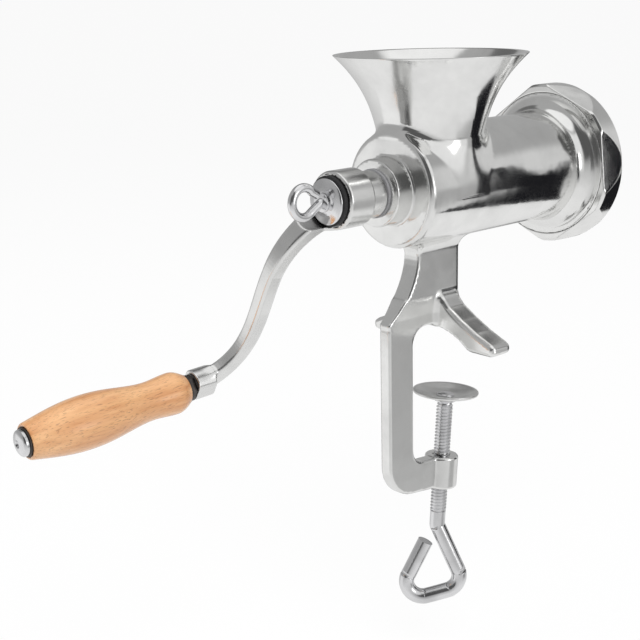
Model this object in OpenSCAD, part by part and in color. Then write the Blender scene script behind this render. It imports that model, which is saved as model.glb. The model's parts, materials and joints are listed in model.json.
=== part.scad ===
// Hand crank meat grinder that clamps to a table edge.
// The origin is on the table top, midway between the two feet. +X is the way
// the meat leaves, +Z is up. The worm lies along X, above the table.

/* [Clamp frame] */
// Height of the worm axis above the table
axis_h = 93.5; // [90:0.5:105]
// Distance from the spine's front face to the middle of the feet
reach = 26.2; // [24:0.2:32]
// Depth of the spine along X
spine_d = 19.4; // [16:0.2:24]
// Thickness of the spine along Y
spine_w = 8.4; // [7:0.2:12]
// Thickness of the neck along Y
neck_w = 12; // [10:0.5:16]
// Length of the neck along X where it meets the barrel
neck_l = 33.6; // [30:0.2:38]
// Height of the clamp opening, from the table to the jaw at the screw
clamp_gap = 71; // [60:0.5:90]
// Thickness of the jaw under the opening
jaw_t = 19.5; // [16:0.5:24]
// Diameter of the jaw's boss around the screw
jaw_boss_d = 20; // [18:0.5:26]
// Radius of the rounded corner inside the jaw
jaw_corner_r = 9; // [5:0.5:12]

/* [Feet] */
// Span of the two feet, tip to tip along Y
foot_span = 94; // [80:1:110]
// Width of the feet along X
foot_w = 16; // [14:0.5:20]
// Thickness of a foot at its tip
foot_tip_t = 7; // [5:0.5:9]
// Length of the flat seat under each foot
seat_l = 15; // [10:0.5:20]
// Height of the arch between the feet
arch_h = 11.5; // [8:0.5:14]
// Height of the shoulder where the feet leave the neck
shoulder_h = 25; // [21:0.5:28]

/* [Barrel] */
// Distance from the middle of the feet back to the hopper axis
hopper_back = 7.9; // [6:0.1:12]
// Outer diameter of the barrel
barrel_d = 64.4; // [60:0.2:70]
// Wall of the barrel
barrel_wall = 4.6; // [3.5:0.1:6]
// Length from the hopper axis back to the barrel's rear face
barrel_back = 33.1; // [33.1:0.1:38]
// Length from the hopper axis to the bell's front face
bell_front = 110.9; // [106:0.1:118]
// Wall of the bell around the hole plate
bell_wall = 8; // [7:0.5:10]
// Length of the bell behind its front face
bell_l = 10; // [8:0.5:12]
// Diameter of the collar behind the barrel
collar_d = 37; // [34:0.5:42]
// Length of the collar
collar_l = 11.8; // [10:0.2:14]

/* [Hopper] */
// Diameter of the hopper's rim
rim_d = 108; // [100:1:120]
// Height of the rim above the worm axis
rim_h = 71.7; // [66:0.5:80]
// Outer diameter of the hopper's throat
throat_d = 59.2; // [54:0.2:60]
// Wall of the hopper
hopper_wall = 3; // [2:0.1:4]

/* [Ring nut and plate] */
// Wall of the ring nut around the bell
ring_wall = 5; // [4:0.5:8]
// Length of the ring nut
ring_l = 14.6; // [13:0.2:18]
// Thickness of the ring nut's front lip
ring_lip = 4.4; // [3:0.1:6]
// Depth of the flats, measured at the ring nut's rear edge
ring_flat = 2.8; // [1.5:0.1:3]
// Pitch of the ring nut's thread
ring_pitch = 3; // [2:0.5:4]
// Diameter of the hole plate
plate_d = 70; // [68:0.5:72]
// Thickness of the hole plate
plate_t = 6; // [4:0.5:8]
// Diameter of the plate's holes
hole_d = 6; // [3:0.5:7]
// Distance between the plate's holes
hole_pitch = 8; // [7.5:0.5:10]
// Diameter of the plate's centre hole
plate_bore = 10.1; // [8.1:0.1:12.1]
// Diameter of the pin that keeps the plate from turning
key_d = 4; // [3:0.5:5]

/* [Worm and knife] */
// Gap between the worm's flight and the barrel's bore
flight_gap = 0.6; // [0.4:0.1:1.2]
// Length that one turn of the flight advances
flight_pitch = 34; // [28:1:42]
// Thickness of the flight
flight_t = 5; // [4:0.5:7]
// Core diameter of the worm at its rear
core_rear_d = 30; // [28:0.5:34]
// Core diameter of the worm at its front
core_front_d = 24; // [20:0.5:28]
// Diameter of the worm's journal in the bush
journal_d = 19; // [16:0.5:19.5]
// Side of the square end that drives the crank
drive_sq = 12; // [10:0.5:12.5]
// Length of the square end inside the crank hub
drive_l = 24; // [18:0.5:26]
// Side of the square that drives the knife
knife_sq = 11; // [9:0.5:13]
// Thickness of the knife
knife_t = 6; // [5:0.5:8]
// Distance from the blades' tips to the plate's edge
knife_margin = 4.4; // [3.8:0.1:7]
// Length of the spindle's stem in the worm
stem_l = 16; // [12:1:20]
// Diameter of the spindle's nose in the plate
nose_d = 10; // [8:0.1:12]
// Thickness of the thrust washer
thrust_t = 1.6; // [1:0.1:2.5]

/* [Rear bush] */
// Diameter of the bush's flange
bush_flange_d = 26.8; // [24:0.2:30]
// Thickness of the bush's flange
bush_flange_t = 1.3; // [1:0.1:2]
// Wall of the bush
bush_wall = 2; // [1.5:0.1:3]

/* [Crank] */
// Radius of the crank, from the worm axis to the grip's axis
crank_r = 124.5; // [115:0.5:150]
// Angle of the arm from straight down, at rest
crank_rest = 32; // [0:1:90]
// Diameter of the crank's hub
hub_d = 31.4; // [30:0.2:36]
// Length of the crank's hub
hub_l = 18; // [17.5:0.5:22]
// Diameter of the hub's inner boss
hub_boss_d = 25.6; // [24:0.2:28]
// Length of the hub's inner boss
hub_boss_l = 11.5; // [8:0.5:13]
// Thickness of the arm at its middle, seen from its side
arm_t = 10; // [8:0.5:12]
// Extra thickness of the arm at both ends
arm_swell = 3; // [0:0.5:4]
// Width of the arm at the hub
arm_w = 12; // [10:0.5:16]
// Width of the arm at the grip
arm_tip_w = 7.2; // [6:0.2:10]
// Distance that the arm bows out behind the hub
arm_bow = 21.2; // [16:0.2:26]
// Distance from the worm axis to the middle of the arm's bow
arm_knee = 46; // [40:0.5:54]
// Distance from the hub's rear face out to the block that holds the grip
arm_out = 36.1; // [32:0.1:42]
// Diameter of the block that holds the grip
end_block_d = 17; // [16:0.5:20]
// Width of the block across its two flats
end_block_w = 14.5; // [14:0.5:16]
// Length of the block that holds the grip
end_block_l = 12.5; // [12:0.5:18]
// Distance from the grip's bolt to the middle of the block
end_block_off = 1.6; // [0:0.2:2]

/* [Eye bolt] */
// Diameter of the rubber ring
seal_d = 27; // [24:0.5:30]
// Thickness of the rubber ring
seal_t = 2.6; // [2:0.1:4]
// Diameter of the cup washer
cup_d = 24.6; // [22:0.2:28]
// Thickness of the cup washer
cup_t = 1.6; // [1:0.1:2.5]
// Diameter of the eye bolt's thread
bolt_d = 8; // [6:0.5:8]
// Length of the thread in the worm's end
bolt_l = 16; // [12:0.5:18]
// Pitch of the eye bolt's thread
bolt_pitch = 1.25; // [0.8:0.05:1.5]
// Diameter of the eye's wire
eye_wire = 4.8; // [4:0.1:6]
// Radius of the eye, at the middle of its wire
eye_r = 7.7; // [7:0.1:9]
// Distance from the bolt's collar to the middle of the eye
eye_out = 12; // [11:0.2:18]
// Height of the eye's middle above the bolt's axis
eye_rise = 1.6; // [0:0.2:3]

/* [Grip] */
// Length of the wooden grip
grip_l = 97; // [90:0.5:120]
// Largest diameter of the grip
grip_d = 29.2; // [28:0.2:36]
// Diameter of the grip at its waist
grip_waist_d = 21.4; // [20:0.2:26]
// Diameter of the grip at its end by the crank
grip_inner_d = 23.6; // [23:0.2:28]
// Diameter of the grip at its free end
grip_outer_d = 19.5; // [19:0.5:26]
// Diameter of the grip's bolt
pivot_d = 6; // [5:0.5:6]
// Diameter of the grip bolt's domed head
pivot_head_d = 14.4; // [12:0.2:16]
// Height of the grip bolt's domed head
pivot_head_h = 5.4; // [4:0.2:7]
// Diameter of the two washers at the grip's ends
grip_washer_d = 16; // [15:0.5:19]
// Thickness of the two washers at the grip's ends
grip_washer_t = 1.6; // [1:0.1:2.5]
// Width across the flats of the nut between the grip and its block
lock_nut_af = 13; // [11:0.5:14]
// Thickness of that nut
lock_nut_t = 3; // [2.6:0.1:5]
// Tilt of the grip's bolt, its free end away from the worm axis
grip_tilt = 3.8; // [0:0.2:4]

/* [Clamp screw] */
// Diameter of the clamp screw
screw_d = 9.7; // [8:0.1:12]
// Pitch of the clamp screw's thread
screw_pitch = 2; // [1.5:0.25:3]
// Length of the thick screw, from the pad's washer to the start of its loop
screw_l = 71; // [66:1:86]
// Lean of the screw, its top end towards the outlet
screw_lean = 5; // [0:0.5:6]
// Distance of the screw from the middle of the feet, at the jaw
screw_x = 2; // [0:0.5:5]
// Gap between the table's underside and the pad, at rest
pad_drop = 31.4; // [24:0.2:38]
// Diameter of the pad
pad_d = 39; // [32:0.5:44]
// Thickness of the pad's sheet
pad_t = 1.8; // [1.2:0.1:2.5]
// Depth of the pad's dish
pad_dish = 3.2; // [1:0.1:4]
// Thickness of the washer under the pad
pad_washer_t = 1.6; // [1:0.1:2.5]
// Diameter of the screw's pin through the pad
rivet_d = 6; // [4:0.5:7]
// Height of the riveted head above the pad
rivet_h = 1.8; // [1:0.1:2.5]
// Turn of the loop about the screw, at rest
loop_turn = -42; // [-90:1:90]
// Radius of the loop's two corners, at the middle of the rod
loop_r = 10; // [8:0.5:14]
// Distance between the loop's two corners
loop_w = 11; // [6:0.5:18]
// Length of the loop, from its neck to the middle of its corners
loop_l = 40; // [30:0.5:46]

/* [Fits] */
// Radial gap of turning and sliding fits
running_fit = 0.06; // [0.02:0.01:0.1]
// Gap between pieces that don't bear on each other
clear = 0.4; // [0.3:0.05:0.8]
// Gap between faces that are pressed together
seat_gap = 0.02; // [0.01:0.01:0.05]

/* [Hidden] */
$fn = 96;
bite = 0.5;
STEPS = 10;

// Frame
hopper_x = -hopper_back;
spine_x1 = -reach;
spine_x0 = spine_x1 - spine_d;
frame_x1 = foot_w / 2 + 2;
foot_y = foot_span / 2;
seat_y1 = foot_y - 3;
seat_y0 = seat_y1 - seat_l;
arch_r = (seat_y0 * seat_y0 + arch_h * arch_h) / (2 * arch_h);
web_corner_r = 10;
spine_corner_r = 20;
neck_top_z = axis_h - 20;
neck_z0 = arch_h + 6.5;
neck_z1 = axis_h - barrel_d / 2 - 4.8;
neck_x0 = frame_x1 - neck_l;

// Barrel, measured from the hopper axis along the worm axis
bell_d = plate_d + 2 * bell_wall;
ring_d = bell_d + 2 * ring_wall;
barrel_r = barrel_d / 2;
bore_r = barrel_r - barrel_wall;
rear_wall = 5;
bore_x0 = -barrel_back + rear_wall;
bell_x0 = bell_front - bell_l;
bell_fillet = bell_d / 2 - barrel_r - 1;
plate_proud = 0.6;
plate_x0 = bell_front + plate_proud - plate_t;
plate_r = plate_d / 2;
plate_rim = 2.2;
plate_seat_r = plate_r + clear / 2;
knife_r = plate_r - knife_margin;
knife_room_r = plate_r - knife_margin + 3.5 * clear;
knife_gap = 0.08;
knife_x1 = plate_x0 - knife_gap;
knife_x0 = knife_x1 - knife_t;
room_x0 = knife_x0 - 4 * clear;
collar_x0 = -barrel_back - collar_l;
bush_r = journal_d / 2 + running_fit + bush_wall;
bush_x0 = collar_x0 - bush_flange_t - seat_gap;

// Ring nut
ring_x1 = bell_front + plate_proud + seat_gap + ring_lip;
ring_x0 = ring_x1 - ring_l;
ring_mouth_r = plate_r - plate_rim;
ring_bore_r = bell_d / 2 + running_fit;
ring_chamfer = 3;

// Worm
worm_x0 = bore_x0 + thrust_t + 2 * seat_gap;
worm_x1 = knife_x0 - 3 * clear;
flight_r = bore_r - flight_gap;
flight_turns = (worm_x1 - worm_x0 - flight_t) / flight_pitch;
flight_steps = 26;
stem_r = knife_sq / 2 - 1;
hub_x1 = bush_x0 - clear;
hub_mid = hub_x1 - hub_boss_l;
hub_x0 = hub_mid - hub_l;
drive_x0 = hub_x1 - drive_l;

// Eye bolt
seal_x0 = hub_x0 - seat_gap - seal_t;
cup_x1 = seal_x0 - seat_gap;
cup_dome = 1.6;
cup_x0 = cup_x1 - cup_t;
bolt_collar_t = 1.4;
bolt_collar_x1 = cup_x0 - cup_dome - seat_gap;
bolt_collar_x0 = bolt_collar_x1 - bolt_collar_t;
bolt_tip_x = drive_x0 + bolt_l;

// Grip, measured from the hopper axis
block_x1 = hub_x0 - arm_out;
block_x0 = block_x1 - end_block_l;
block_floor = 3;
nut_x0 = -seat_gap - lock_nut_t;
inner_washer_x0 = nut_x0 - seat_gap - grip_washer_t;
grip_x1 = inner_washer_x0 - seat_gap;
grip_x0 = grip_x1 - grip_l;
outer_recess = 0.6;
pivot_fit_r = pivot_d / 2 + running_fit;

// Clamp screw, measured from the screw's crossing with the jaw's top
jaw_z = -clamp_gap;
pad_up = (clamp_gap - pad_drop) / cos(screw_lean);
pad_z = pad_up - pad_dish - pad_t;
pad_washer_z = pad_z - seat_gap - pad_washer_t;
screw_top = pad_washer_z - seat_gap;
rivet_z = pad_z + pad_t + seat_gap;
rivet_dome_r = 11;
rivet_hole_r = rivet_d / 2 + running_fit;
neck_end = screw_top - screw_l;
tube_sides = 12;
loop_d = screw_d - 0.2;
loop_neck = 5;
loop_straight = 5;
loop_gap = 6.4;
loop_end = 18;

// Points on an arc about a centre, from angle a0 to angle a1
function arc(c, r, a0, a1, n = STEPS) = [
    for (i = [0:n])
        let (a = a0 + (a1 - a0) * i / n)
        [c[0] + r * cos(a), c[1] + r * sin(a)]
];

// A smooth step from 0 to 1
function ease(t) = t * t * (3 - 2 * t);

// Points mirrored across the second axis
function mirrored(pts) = [for (i = [len(pts) - 1:-1:0]) [-pts[i][0], pts[i][1]]];

// Puts the children on the worm axis, below the hopper's axis
module on_axis() {
    translate([hopper_x, 0, axis_h])
        children();
}

// Turns a profile of (radius, distance) about the X axis
module turned(profile) {
    rotate([0, 90, 0])
        rotate_extrude()
            polygon(profile);
}

// A round bar along X, from x0 to x1
module bar(r, x0, x1) {
    translate([x0, 0, 0])
        rotate([0, 90, 0])
            cylinder(r = r, h = x1 - x0);
}

// A square bar along X, from x0 to x1
module square_bar(side, x0, x1) {
    translate([x0, -side / 2, -side / 2])
        cube([x1 - x0, side, side]);
}

// Extrudes an (x, z) outline across Y, w thick
module plate_y(outline, w) {
    rotate([90, 0, 0])
        linear_extrude(height = w, center = true)
            polygon(outline);
}

// Extrudes a (y, z) outline along X, w thick
module plate_x(outline, w) {
    rotate([90, 0, 90])
        linear_extrude(height = w, center = true)
            polygon(outline);
}

// A round rod swept along points that lie in the XZ plane
module rod(path, d) {
    n = len(path);
    function way(i) = path[min(i + 1, n - 1)] - path[max(i - 1, 0)];
    pts = [
        for (i = [0:n - 1])
            let (w = way(i) / norm(way(i)))
            for (k = [0:tube_sides - 1])
                let (a = 360 * k / tube_sides)
                [
                    path[i][0] - w[1] * cos(a) * d / 2,
                    sin(a) * d / 2,
                    path[i][1] + w[0] * cos(a) * d / 2
                ]
    ];
    sides = [
        for (i = [0:n - 2])
            for (k = [0:tube_sides - 1])
                let (j = (k + 1) % tube_sides)
                [
                    i * tube_sides + k,
                    i * tube_sides + j,
                    (i + 1) * tube_sides + j,
                    (i + 1) * tube_sides + k
                ]
    ];
    first = [for (k = [tube_sides - 1:-1:0]) k];
    last = [for (k = [0:tube_sides - 1]) (n - 1) * tube_sides + k];
    polyhedron(pts, concat([first], sides, [last]));
}

// Puts the children on the clamp screw's axis, their z measured from the jaw's top
module on_screw() {
    translate([screw_x, 0, jaw_z])
        rotate([0, screw_lean, 0])
            children();
}

// Hopper's radius at height z above the worm axis: a trumpet that opens upward
function hopper_r(z) =
    let (t = max(0, (z - hopper_z0) / (rim_h - hopper_z0)))
    throat_d / 2 + (rim_d - throat_d) / 2 * (0.41 * t + 0.59 * pow(t, 2.63));
hopper_z0 = 28;
hopper_rings = 14;

module hopper_outside() {
    heights = [for (i = [0:hopper_rings]) hopper_z0 + (rim_h - hopper_z0) * i / hopper_rings];
    rotate_extrude()
        polygon(concat(
            [[0, 0], [throat_d / 2 + 1.5, 0], [throat_d / 2 + 1.5, hopper_z0 - 4]],
            [for (z = heights) [hopper_r(z), z]],
            [[0, rim_h]]
        ));
}

module hopper_inside() {
    heights = [for (i = [0:hopper_rings]) hopper_z0 + (rim_h - hopper_z0) * i / hopper_rings];
    rotate_extrude()
        polygon(concat(
            [[0, 0], [throat_d / 2 - hopper_wall, 0]],
            [for (z = heights) [hopper_r(z) - hopper_wall, z]],
            [[rim_d / 2 - hopper_wall, rim_h + 1], [0, rim_h + 1]]
        ));
}

// Outside of the barrel with its collar and bell
module barrel_outside() {
    edge = 3;
    turned(concat(
        [[0, collar_x0], [collar_d / 2 - 1, collar_x0], [collar_d / 2, collar_x0 + 1]],
        [[collar_d / 2 + 0.6, -barrel_back]],
        arc([barrel_r - edge, -barrel_back + edge], edge, -90, 0, 4),
        arc([barrel_r + bell_fillet, bell_x0 - bell_fillet], bell_fillet, 180, 90, 8),
        [[bell_d / 2, bell_x0], [bell_d / 2, bell_front], [0, bell_front]]
    ));
}

// Room inside the barrel: bush seat, worm bore, knife room and plate seat
module barrel_inside() {
    turned([
        [0, collar_x0 - 1],
        [bush_r + seat_gap, collar_x0 - 1],
        [bush_r + seat_gap, bore_x0],
        [bore_r, bore_x0],
        [bore_r, room_x0 - knife_room_r + bore_r],
        [knife_room_r, room_x0],
        [knife_room_r, plate_x0 - seat_gap],
        [plate_seat_r, plate_x0 - seat_gap],
        [plate_seat_r, bell_front + 1],
        [0, bell_front + 1]
    ]);
}

// Neck between the barrel and the spine: its side outline, thinned towards the spine
module neck() {
    half = [[spine_w / 2, 0], [spine_w / 2, neck_z0 + 2], [neck_w / 2, neck_z0 + 16], [neck_w / 2, axis_h]];
    intersection() {
        neck_side();
        plate_x(concat([for (i = [3:-1:0]) half[i]], [for (p = half) [-p[0], p[1]]]), 4 * neck_l);
    }
}

module neck_side() {
    back = [
        for (i = [0:STEPS])
            let (t = i / STEPS)
            [
                spine_x0 + 1 + (neck_x0 - spine_x0 - 1) * (1 - pow(1 - t, 1.9)),
                neck_z0 + (neck_z1 - neck_z0) * t
            ]
    ];
    plate_y(concat(
        back,
        [[neck_x0, neck_top_z], [frame_x1, neck_top_z], [frame_x1, shoulder_h - 3]],
        [[-foot_w / 2, shoulder_h + 1], [spine_x1 - 6, neck_z0 + 3]]
    ), neck_w);
}

// Spine and jaw, seen from their side, with the web that carries the feet
module spine_and_jaw() {
    jaw_x1 = screw_x + jaw_boss_d / 2 - 1;
    slope = tan(screw_lean);
    jaw_top = jaw_z - (jaw_x1 - screw_x) * slope;
    inner_top = jaw_z + (screw_x - spine_x1) * slope;
    bottom = jaw_top - jaw_t;
    web_z = arch_h + 1.2;
    web_top = neck_z0 + 11;
    plate_y(concat(
        [[spine_x0, neck_z0 - 4], [spine_x0 + 1, neck_z0], [spine_x0 + 7.6, neck_z0 + 6]],
        [[spine_x0 + 12, web_top], [0, web_top], [0, web_z]],
        arc([spine_x1 + web_corner_r, web_z - web_corner_r], web_corner_r, 90, 180, 6),
        arc([spine_x1 + jaw_corner_r, inner_top + jaw_corner_r - 1], jaw_corner_r, 180, 265, 6),
        [[jaw_x1, jaw_top], [jaw_x1, bottom + 2], [jaw_x1 - 3, bottom]],
        arc([spine_x0 + spine_corner_r, bottom + spine_corner_r + 4], spine_corner_r, 262, 180)
    ), spine_w);
}

// The two feet, one outline through both tips
module feet() {
    tip = [
        [seat_y0, 0],
        [seat_y1, 0],
        [foot_y - 0.9, 0.9],
        [foot_y, 3],
        [foot_y, foot_tip_t - 2],
        [foot_y - 2, foot_tip_t],
        [10, shoulder_h],
        [0, shoulder_h + 4]
    ];
    difference() {
        plate_x(concat(tip, [for (p = mirrored(tip)) if (p[0] < 0) p]), foot_w);
        translate([-foot_w, 0, arch_h - arch_r])
            rotate([0, 90, 0])
                cylinder(r = arch_r, h = 2 * foot_w);
    }
}

module jaw_boss() {
    rim = jaw_boss_d / 2;
    slope_drop = rim * tan(screw_lean);
    on_screw()
        translate([0, 0, -jaw_t - slope_drop + 0.6])
            cylinder(r = rim, h = jaw_t + slope_drop - 0.6);
}

module cast_body() color("silver") {
    difference() {
        union() {
            on_axis() {
                hopper_outside();
                barrel_outside();
            }
            neck();
            spine_and_jaw();
            feet();
            jaw_boss();
        }
        on_axis() {
            hopper_inside();
            barrel_inside();
            translate([bell_front - plate_t - 1, 0, -plate_seat_r])
                rotate([0, 90, 0])
                    cylinder(d = key_d + 2 * seat_gap, h = plate_t + 2);
        }
        on_screw()
            translate([0, 0, -2 * jaw_t])
                cylinder(r = screw_d / 2 + running_fit, h = 3 * jaw_t);
    }
}

// Pin that lies half in the bell and half in the plate's notch
module plate_key_pin() color("dimgray") {
    on_axis()
        translate([0, 0, -plate_seat_r])
            bar(key_d / 2, bell_front - plate_t - 0.8, bell_front);
}

module ring_nut() color("gainsboro") {
    tilt = atan(ring_flat / (ring_l - ring_chamfer));
    flat_l = ring_l - ring_chamfer;
    on_axis() difference() {
        turned([
            [ring_bore_r, ring_x0],
            [ring_d / 2, ring_x0 + ring_chamfer],
            [ring_d / 2, ring_x1 - 0.8],
            [ring_d / 2 - 0.8, ring_x1],
            [ring_mouth_r + 2, ring_x1],
            [ring_mouth_r, ring_x1 - 2],
            [ring_mouth_r, ring_x1 - ring_lip],
            [ring_bore_r, ring_x1 - ring_lip]
        ]);
        for (k = [0:5])
            rotate([60 * k + 24, 0, 0])
                translate([ring_x1, 0, ring_d / 2])
                    rotate([0, -tilt, 0])
                        translate([-2 * flat_l, -ring_d / 2, 0])
                            cube([2 * flat_l, ring_d, ring_d / 4]);
    }
}

module hole_plate() color("lightgray") {
    reach_r = plate_r - plate_rim - hole_d / 2;
    rows = floor(reach_r / hole_pitch);
    on_axis() difference() {
        bar(plate_r, plate_x0, plate_x0 + plate_t);
        bar(plate_bore / 2, plate_x0 - 1, plate_x0 + plate_t + 1);
        translate([plate_x0 - 1, 0, -plate_seat_r])
            rotate([0, 90, 0])
                cylinder(r = key_d / 2 + clear / 2, h = plate_t + 2);
        for (i = [-2 * rows:2 * rows], j = [-rows - 1:rows + 1]) {
            y = hole_pitch * (i + j / 2);
            z = hole_pitch * j * sin(60);
            in_ring = norm([y, z]) < reach_r && norm([y, z]) > plate_bore / 2 + hole_d / 2 + 1;
            clear_of_key = norm([y, z + plate_seat_r]) > key_d / 2 + hole_d / 2 + 2;
            if (in_ring && clear_of_key)
                translate([0, y, z])
                    bar(hole_d / 2, plate_x0 - 1, plate_x0 + plate_t + 1);
        }
    }
}

// One blade of the knife, its cutting edge towards the plate
module blade() {
    root_w = 11;
    tip_w = 9;
    rotate([90, 0, 90])
        linear_extrude(height = knife_t)
            polygon([
                [-root_w / 2, 0],
                [root_w / 2, 0],
                [tip_w / 2 + 2, knife_r - 1.6],
                [-tip_w / 2 + 2, knife_r - 0.4]
            ]);
}

module cutting_knife() color("slategray") {
    hub_r = knife_sq / 2 * sqrt(2) + 3;
    on_axis() difference() {
        union() {
            bar(hub_r, knife_x0, knife_x1);
            for (k = [0:3])
                rotate([90 * k + 20, 0, 0])
                    translate([knife_x0, 0, 0])
                        blade();
        }
        square_bar(knife_sq + 2 * running_fit, knife_x0 - 1, knife_x1 + 1);
    }
}

// Steel spindle in the worm's front end: it drives the knife and turns in the plate
module knife_spindle() color("darkgray") {
    square_x1 = knife_x1 - clear;
    on_axis() {
        bar(stem_r, worm_x1 - stem_l, worm_x1 + bite);
        square_bar(knife_sq, worm_x1 + seat_gap, square_x1);
        bar(nose_d / 2, square_x1 - bite, plate_x0 + plate_t - clear);
    }
}

// The worm's flight: a helical fin around the core
module flight() {
    turns = flight_turns;
    n = ceil(turns * flight_steps);
    inner = core_front_d / 2 - 2;
    pts = [
        for (i = [0:n])
            let (t = i / n, a = 360 * turns * t, x = worm_x0 + 1 + (worm_x1 - worm_x0 - flight_t - 2) * t)
            for (c = [[inner, 0], [flight_r, 1], [flight_r, flight_t - 1], [inner, flight_t]])
                [x + c[1], c[0] * cos(a), c[0] * sin(a)]
    ];
    sides = [
        for (i = [0:n - 1])
            for (k = [0:3])
                let (j = (k + 1) % 4, a = 4 * i, b = 4 * i + 4)
                each [[a + k, a + j, b + j], [a + k, b + j, b + k]]
    ];
    polyhedron(pts, concat([[3, 2, 1, 0]], sides, [[4 * n, 4 * n + 1, 4 * n + 2, 4 * n + 3]]));
}

module worm() color("whitesmoke") {
    shaft_x1 = hub_x1 + clear / 2;
    on_axis() difference() {
        union() {
            turned([
                [0, worm_x0],
                [core_rear_d / 2, worm_x0],
                [core_front_d / 2, worm_x1],
                [0, worm_x1]
            ]);
            flight();
            bar(journal_d / 2, shaft_x1, worm_x0 + bite);
            square_bar(drive_sq, drive_x0, shaft_x1 + bite);
        }
        bar(stem_r + seat_gap, worm_x1 - stem_l - seat_gap, worm_x1 + 1);
        bar(bolt_d / 2 + running_fit, drive_x0 - 1, bolt_tip_x + 2);
    }
}

module thrust_washer() color("ivory") {
    on_axis() difference() {
        bar(core_rear_d / 2 - 1, bore_x0 + seat_gap, bore_x0 + seat_gap + thrust_t);
        bar(journal_d / 2 + running_fit, bore_x0 - 1, worm_x0 + 1);
    }
}

module rear_bush() color("gray") {
    on_axis() difference() {
        union() {
            bar(bush_r, bush_x0 + bite, bore_x0);
            bar(bush_flange_d / 2, bush_x0, bush_x0 + bush_flange_t);
        }
        bar(journal_d / 2 + running_fit, bush_x0 - 1, bore_x0 + 1);
    }
}

// A point at t on the cubic curve of four points
function bezier(p, t) =
    p[0] * pow(1 - t, 3) + 3 * p[1] * t * pow(1 - t, 2) + 3 * p[2] * t * t * (1 - t) + p[3] * pow(t, 3);

// Middle line of the arm in its own plane, as (x, distance from the worm axis)
bow_x = hub_x0 - arm_bow;
block_mid = [(block_x0 + block_x1) / 2, crank_r - end_block_off];
upper_curve = [[hub_x0 + 4, 6], [hub_x0 - 12, 14], [bow_x, 26], [bow_x, arm_knee]];
lower_curve = [[bow_x, arm_knee], [bow_x, arm_knee + 29], [bow_x + 14.5, crank_r - 15], block_mid];
arm_path = concat(
    [for (i = [0:STEPS]) bezier(upper_curve, i / STEPS)],
    [for (i = [1:STEPS + 2]) bezier(lower_curve, i / (STEPS + 2))]
);

// Thickness of the arm at share s of its length
function arm_thick(s) = arm_t + arm_swell * pow(2 * s - 1, 4);

// Outline of the arm in its own plane
arm_outline =
    let (n = len(arm_path) - 1)
    let (way = [for (i = [0:n]) arm_path[min(i + 1, n)] - arm_path[max(i - 1, 0)]])
    let (side = [for (i = [0:n]) [-way[i][1], way[i][0]] / norm(way[i]) * arm_thick(i / n) / 2])
    concat(
        [for (i = [0:n]) arm_path[i] + side[i]],
        [for (i = [n:-1:0]) arm_path[i] - side[i]]
    );

// Puts the children in the arm's plane, so that their -Z points at the grip
module in_crank_plane() {
    on_axis()
        rotate([crank_rest, 0, 0])
            children();
}

// Puts the children on the grip's bolt, their x measured from the block's rear face
module on_grip() {
    in_crank_plane()
        translate([block_x0, 0, -crank_r])
            rotate([0, -grip_tilt, 0])
                children();
}

// The arm narrows across its plane from the hub to the grip
module arm_taper() {
    knee_w = arm_tip_w + 0.25 * (arm_w - arm_tip_w);
    half = [[arm_w / 2, 4], [arm_w / 2, -12], [knee_w / 2, -arm_knee], [arm_tip_w / 2, -crank_r - 12]];
    translate([(block_x0 + hub_x1) / 2, 0, 0])
        plate_x(concat(half, mirrored(half)), hub_x1 - block_x0 + 2);
}

// Round block with two flats at the arm's end, on the grip's bolt
module end_block() {
    on_grip()
        translate([0, 0, end_block_off])
            intersection() {
                bar(end_block_d / 2, 0, end_block_l);
                translate([0, -end_block_w / 2, -end_block_d / 2])
                    cube([end_block_l, end_block_w, end_block_d]);
            }
}

module crank_arm() color("silver") {
    difference() {
        union() {
            on_axis() {
                bar(hub_d / 2, hub_x0, hub_mid);
                bar(hub_boss_d / 2, hub_mid - bite, hub_x1);
            }
            in_crank_plane() {
                intersection() {
                    plate_y([for (p = arm_outline) [p[0], -p[1]]], 2 * arm_w);
                    arm_taper();
                }
            }
            end_block();
        }
        on_axis() {
            square_bar(drive_sq + 2 * running_fit, drive_x0 - clear, hub_x1 + 1);
            bar(bolt_d / 2 + clear, hub_x0 - 1, drive_x0 + 1);
            bar(seal_d / 2 + clear, bow_x, hub_x0);
        }
        on_grip() {
            bar(pivot_d / 2 + seat_gap, -1, end_block_l - block_floor);
            bar(end_block_d, -end_block_l, 0);
        }
    }
}

module hub_seal() color("black") {
    on_axis() difference() {
        bar(seal_d / 2, seal_x0, seal_x0 + seal_t);
        bar(bolt_d / 2 + clear, seal_x0 - 1, seal_x0 + seal_t + 1);
    }
}

module cup_washer() color("silver") {
    rim = cup_d / 2;
    hole = bolt_d / 2 + running_fit;
    on_axis()
        turned([
            [hole, cup_x1],
            [rim, cup_x1],
            [rim, cup_x1 - cup_t],
            [rim - 2.5, cup_x1 - cup_t],
            [rim - 5, cup_x0 - cup_dome],
            [hole, cup_x0 - cup_dome]
        ]);
}

module eye_bolt() color("silver") {
    eye_x = bolt_collar_x0 - eye_out;
    path = concat(
        [[bolt_collar_x1 - 0.2, 0], [bolt_collar_x0 - 0.5, -0.2]],
        arc([eye_x, eye_rise], eye_r, -48, -322, 24),
        [[bolt_collar_x0 - eye_wire / 2 - clear, eye_rise + 3]]
    );
    on_axis() {
        bar(bolt_d / 2, bolt_collar_x1 - bite, bolt_tip_x);
        bar(bolt_d / 2 + 1.2, bolt_collar_x0, bolt_collar_x1);
        rod(path, eye_wire);
    }
}

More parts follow.
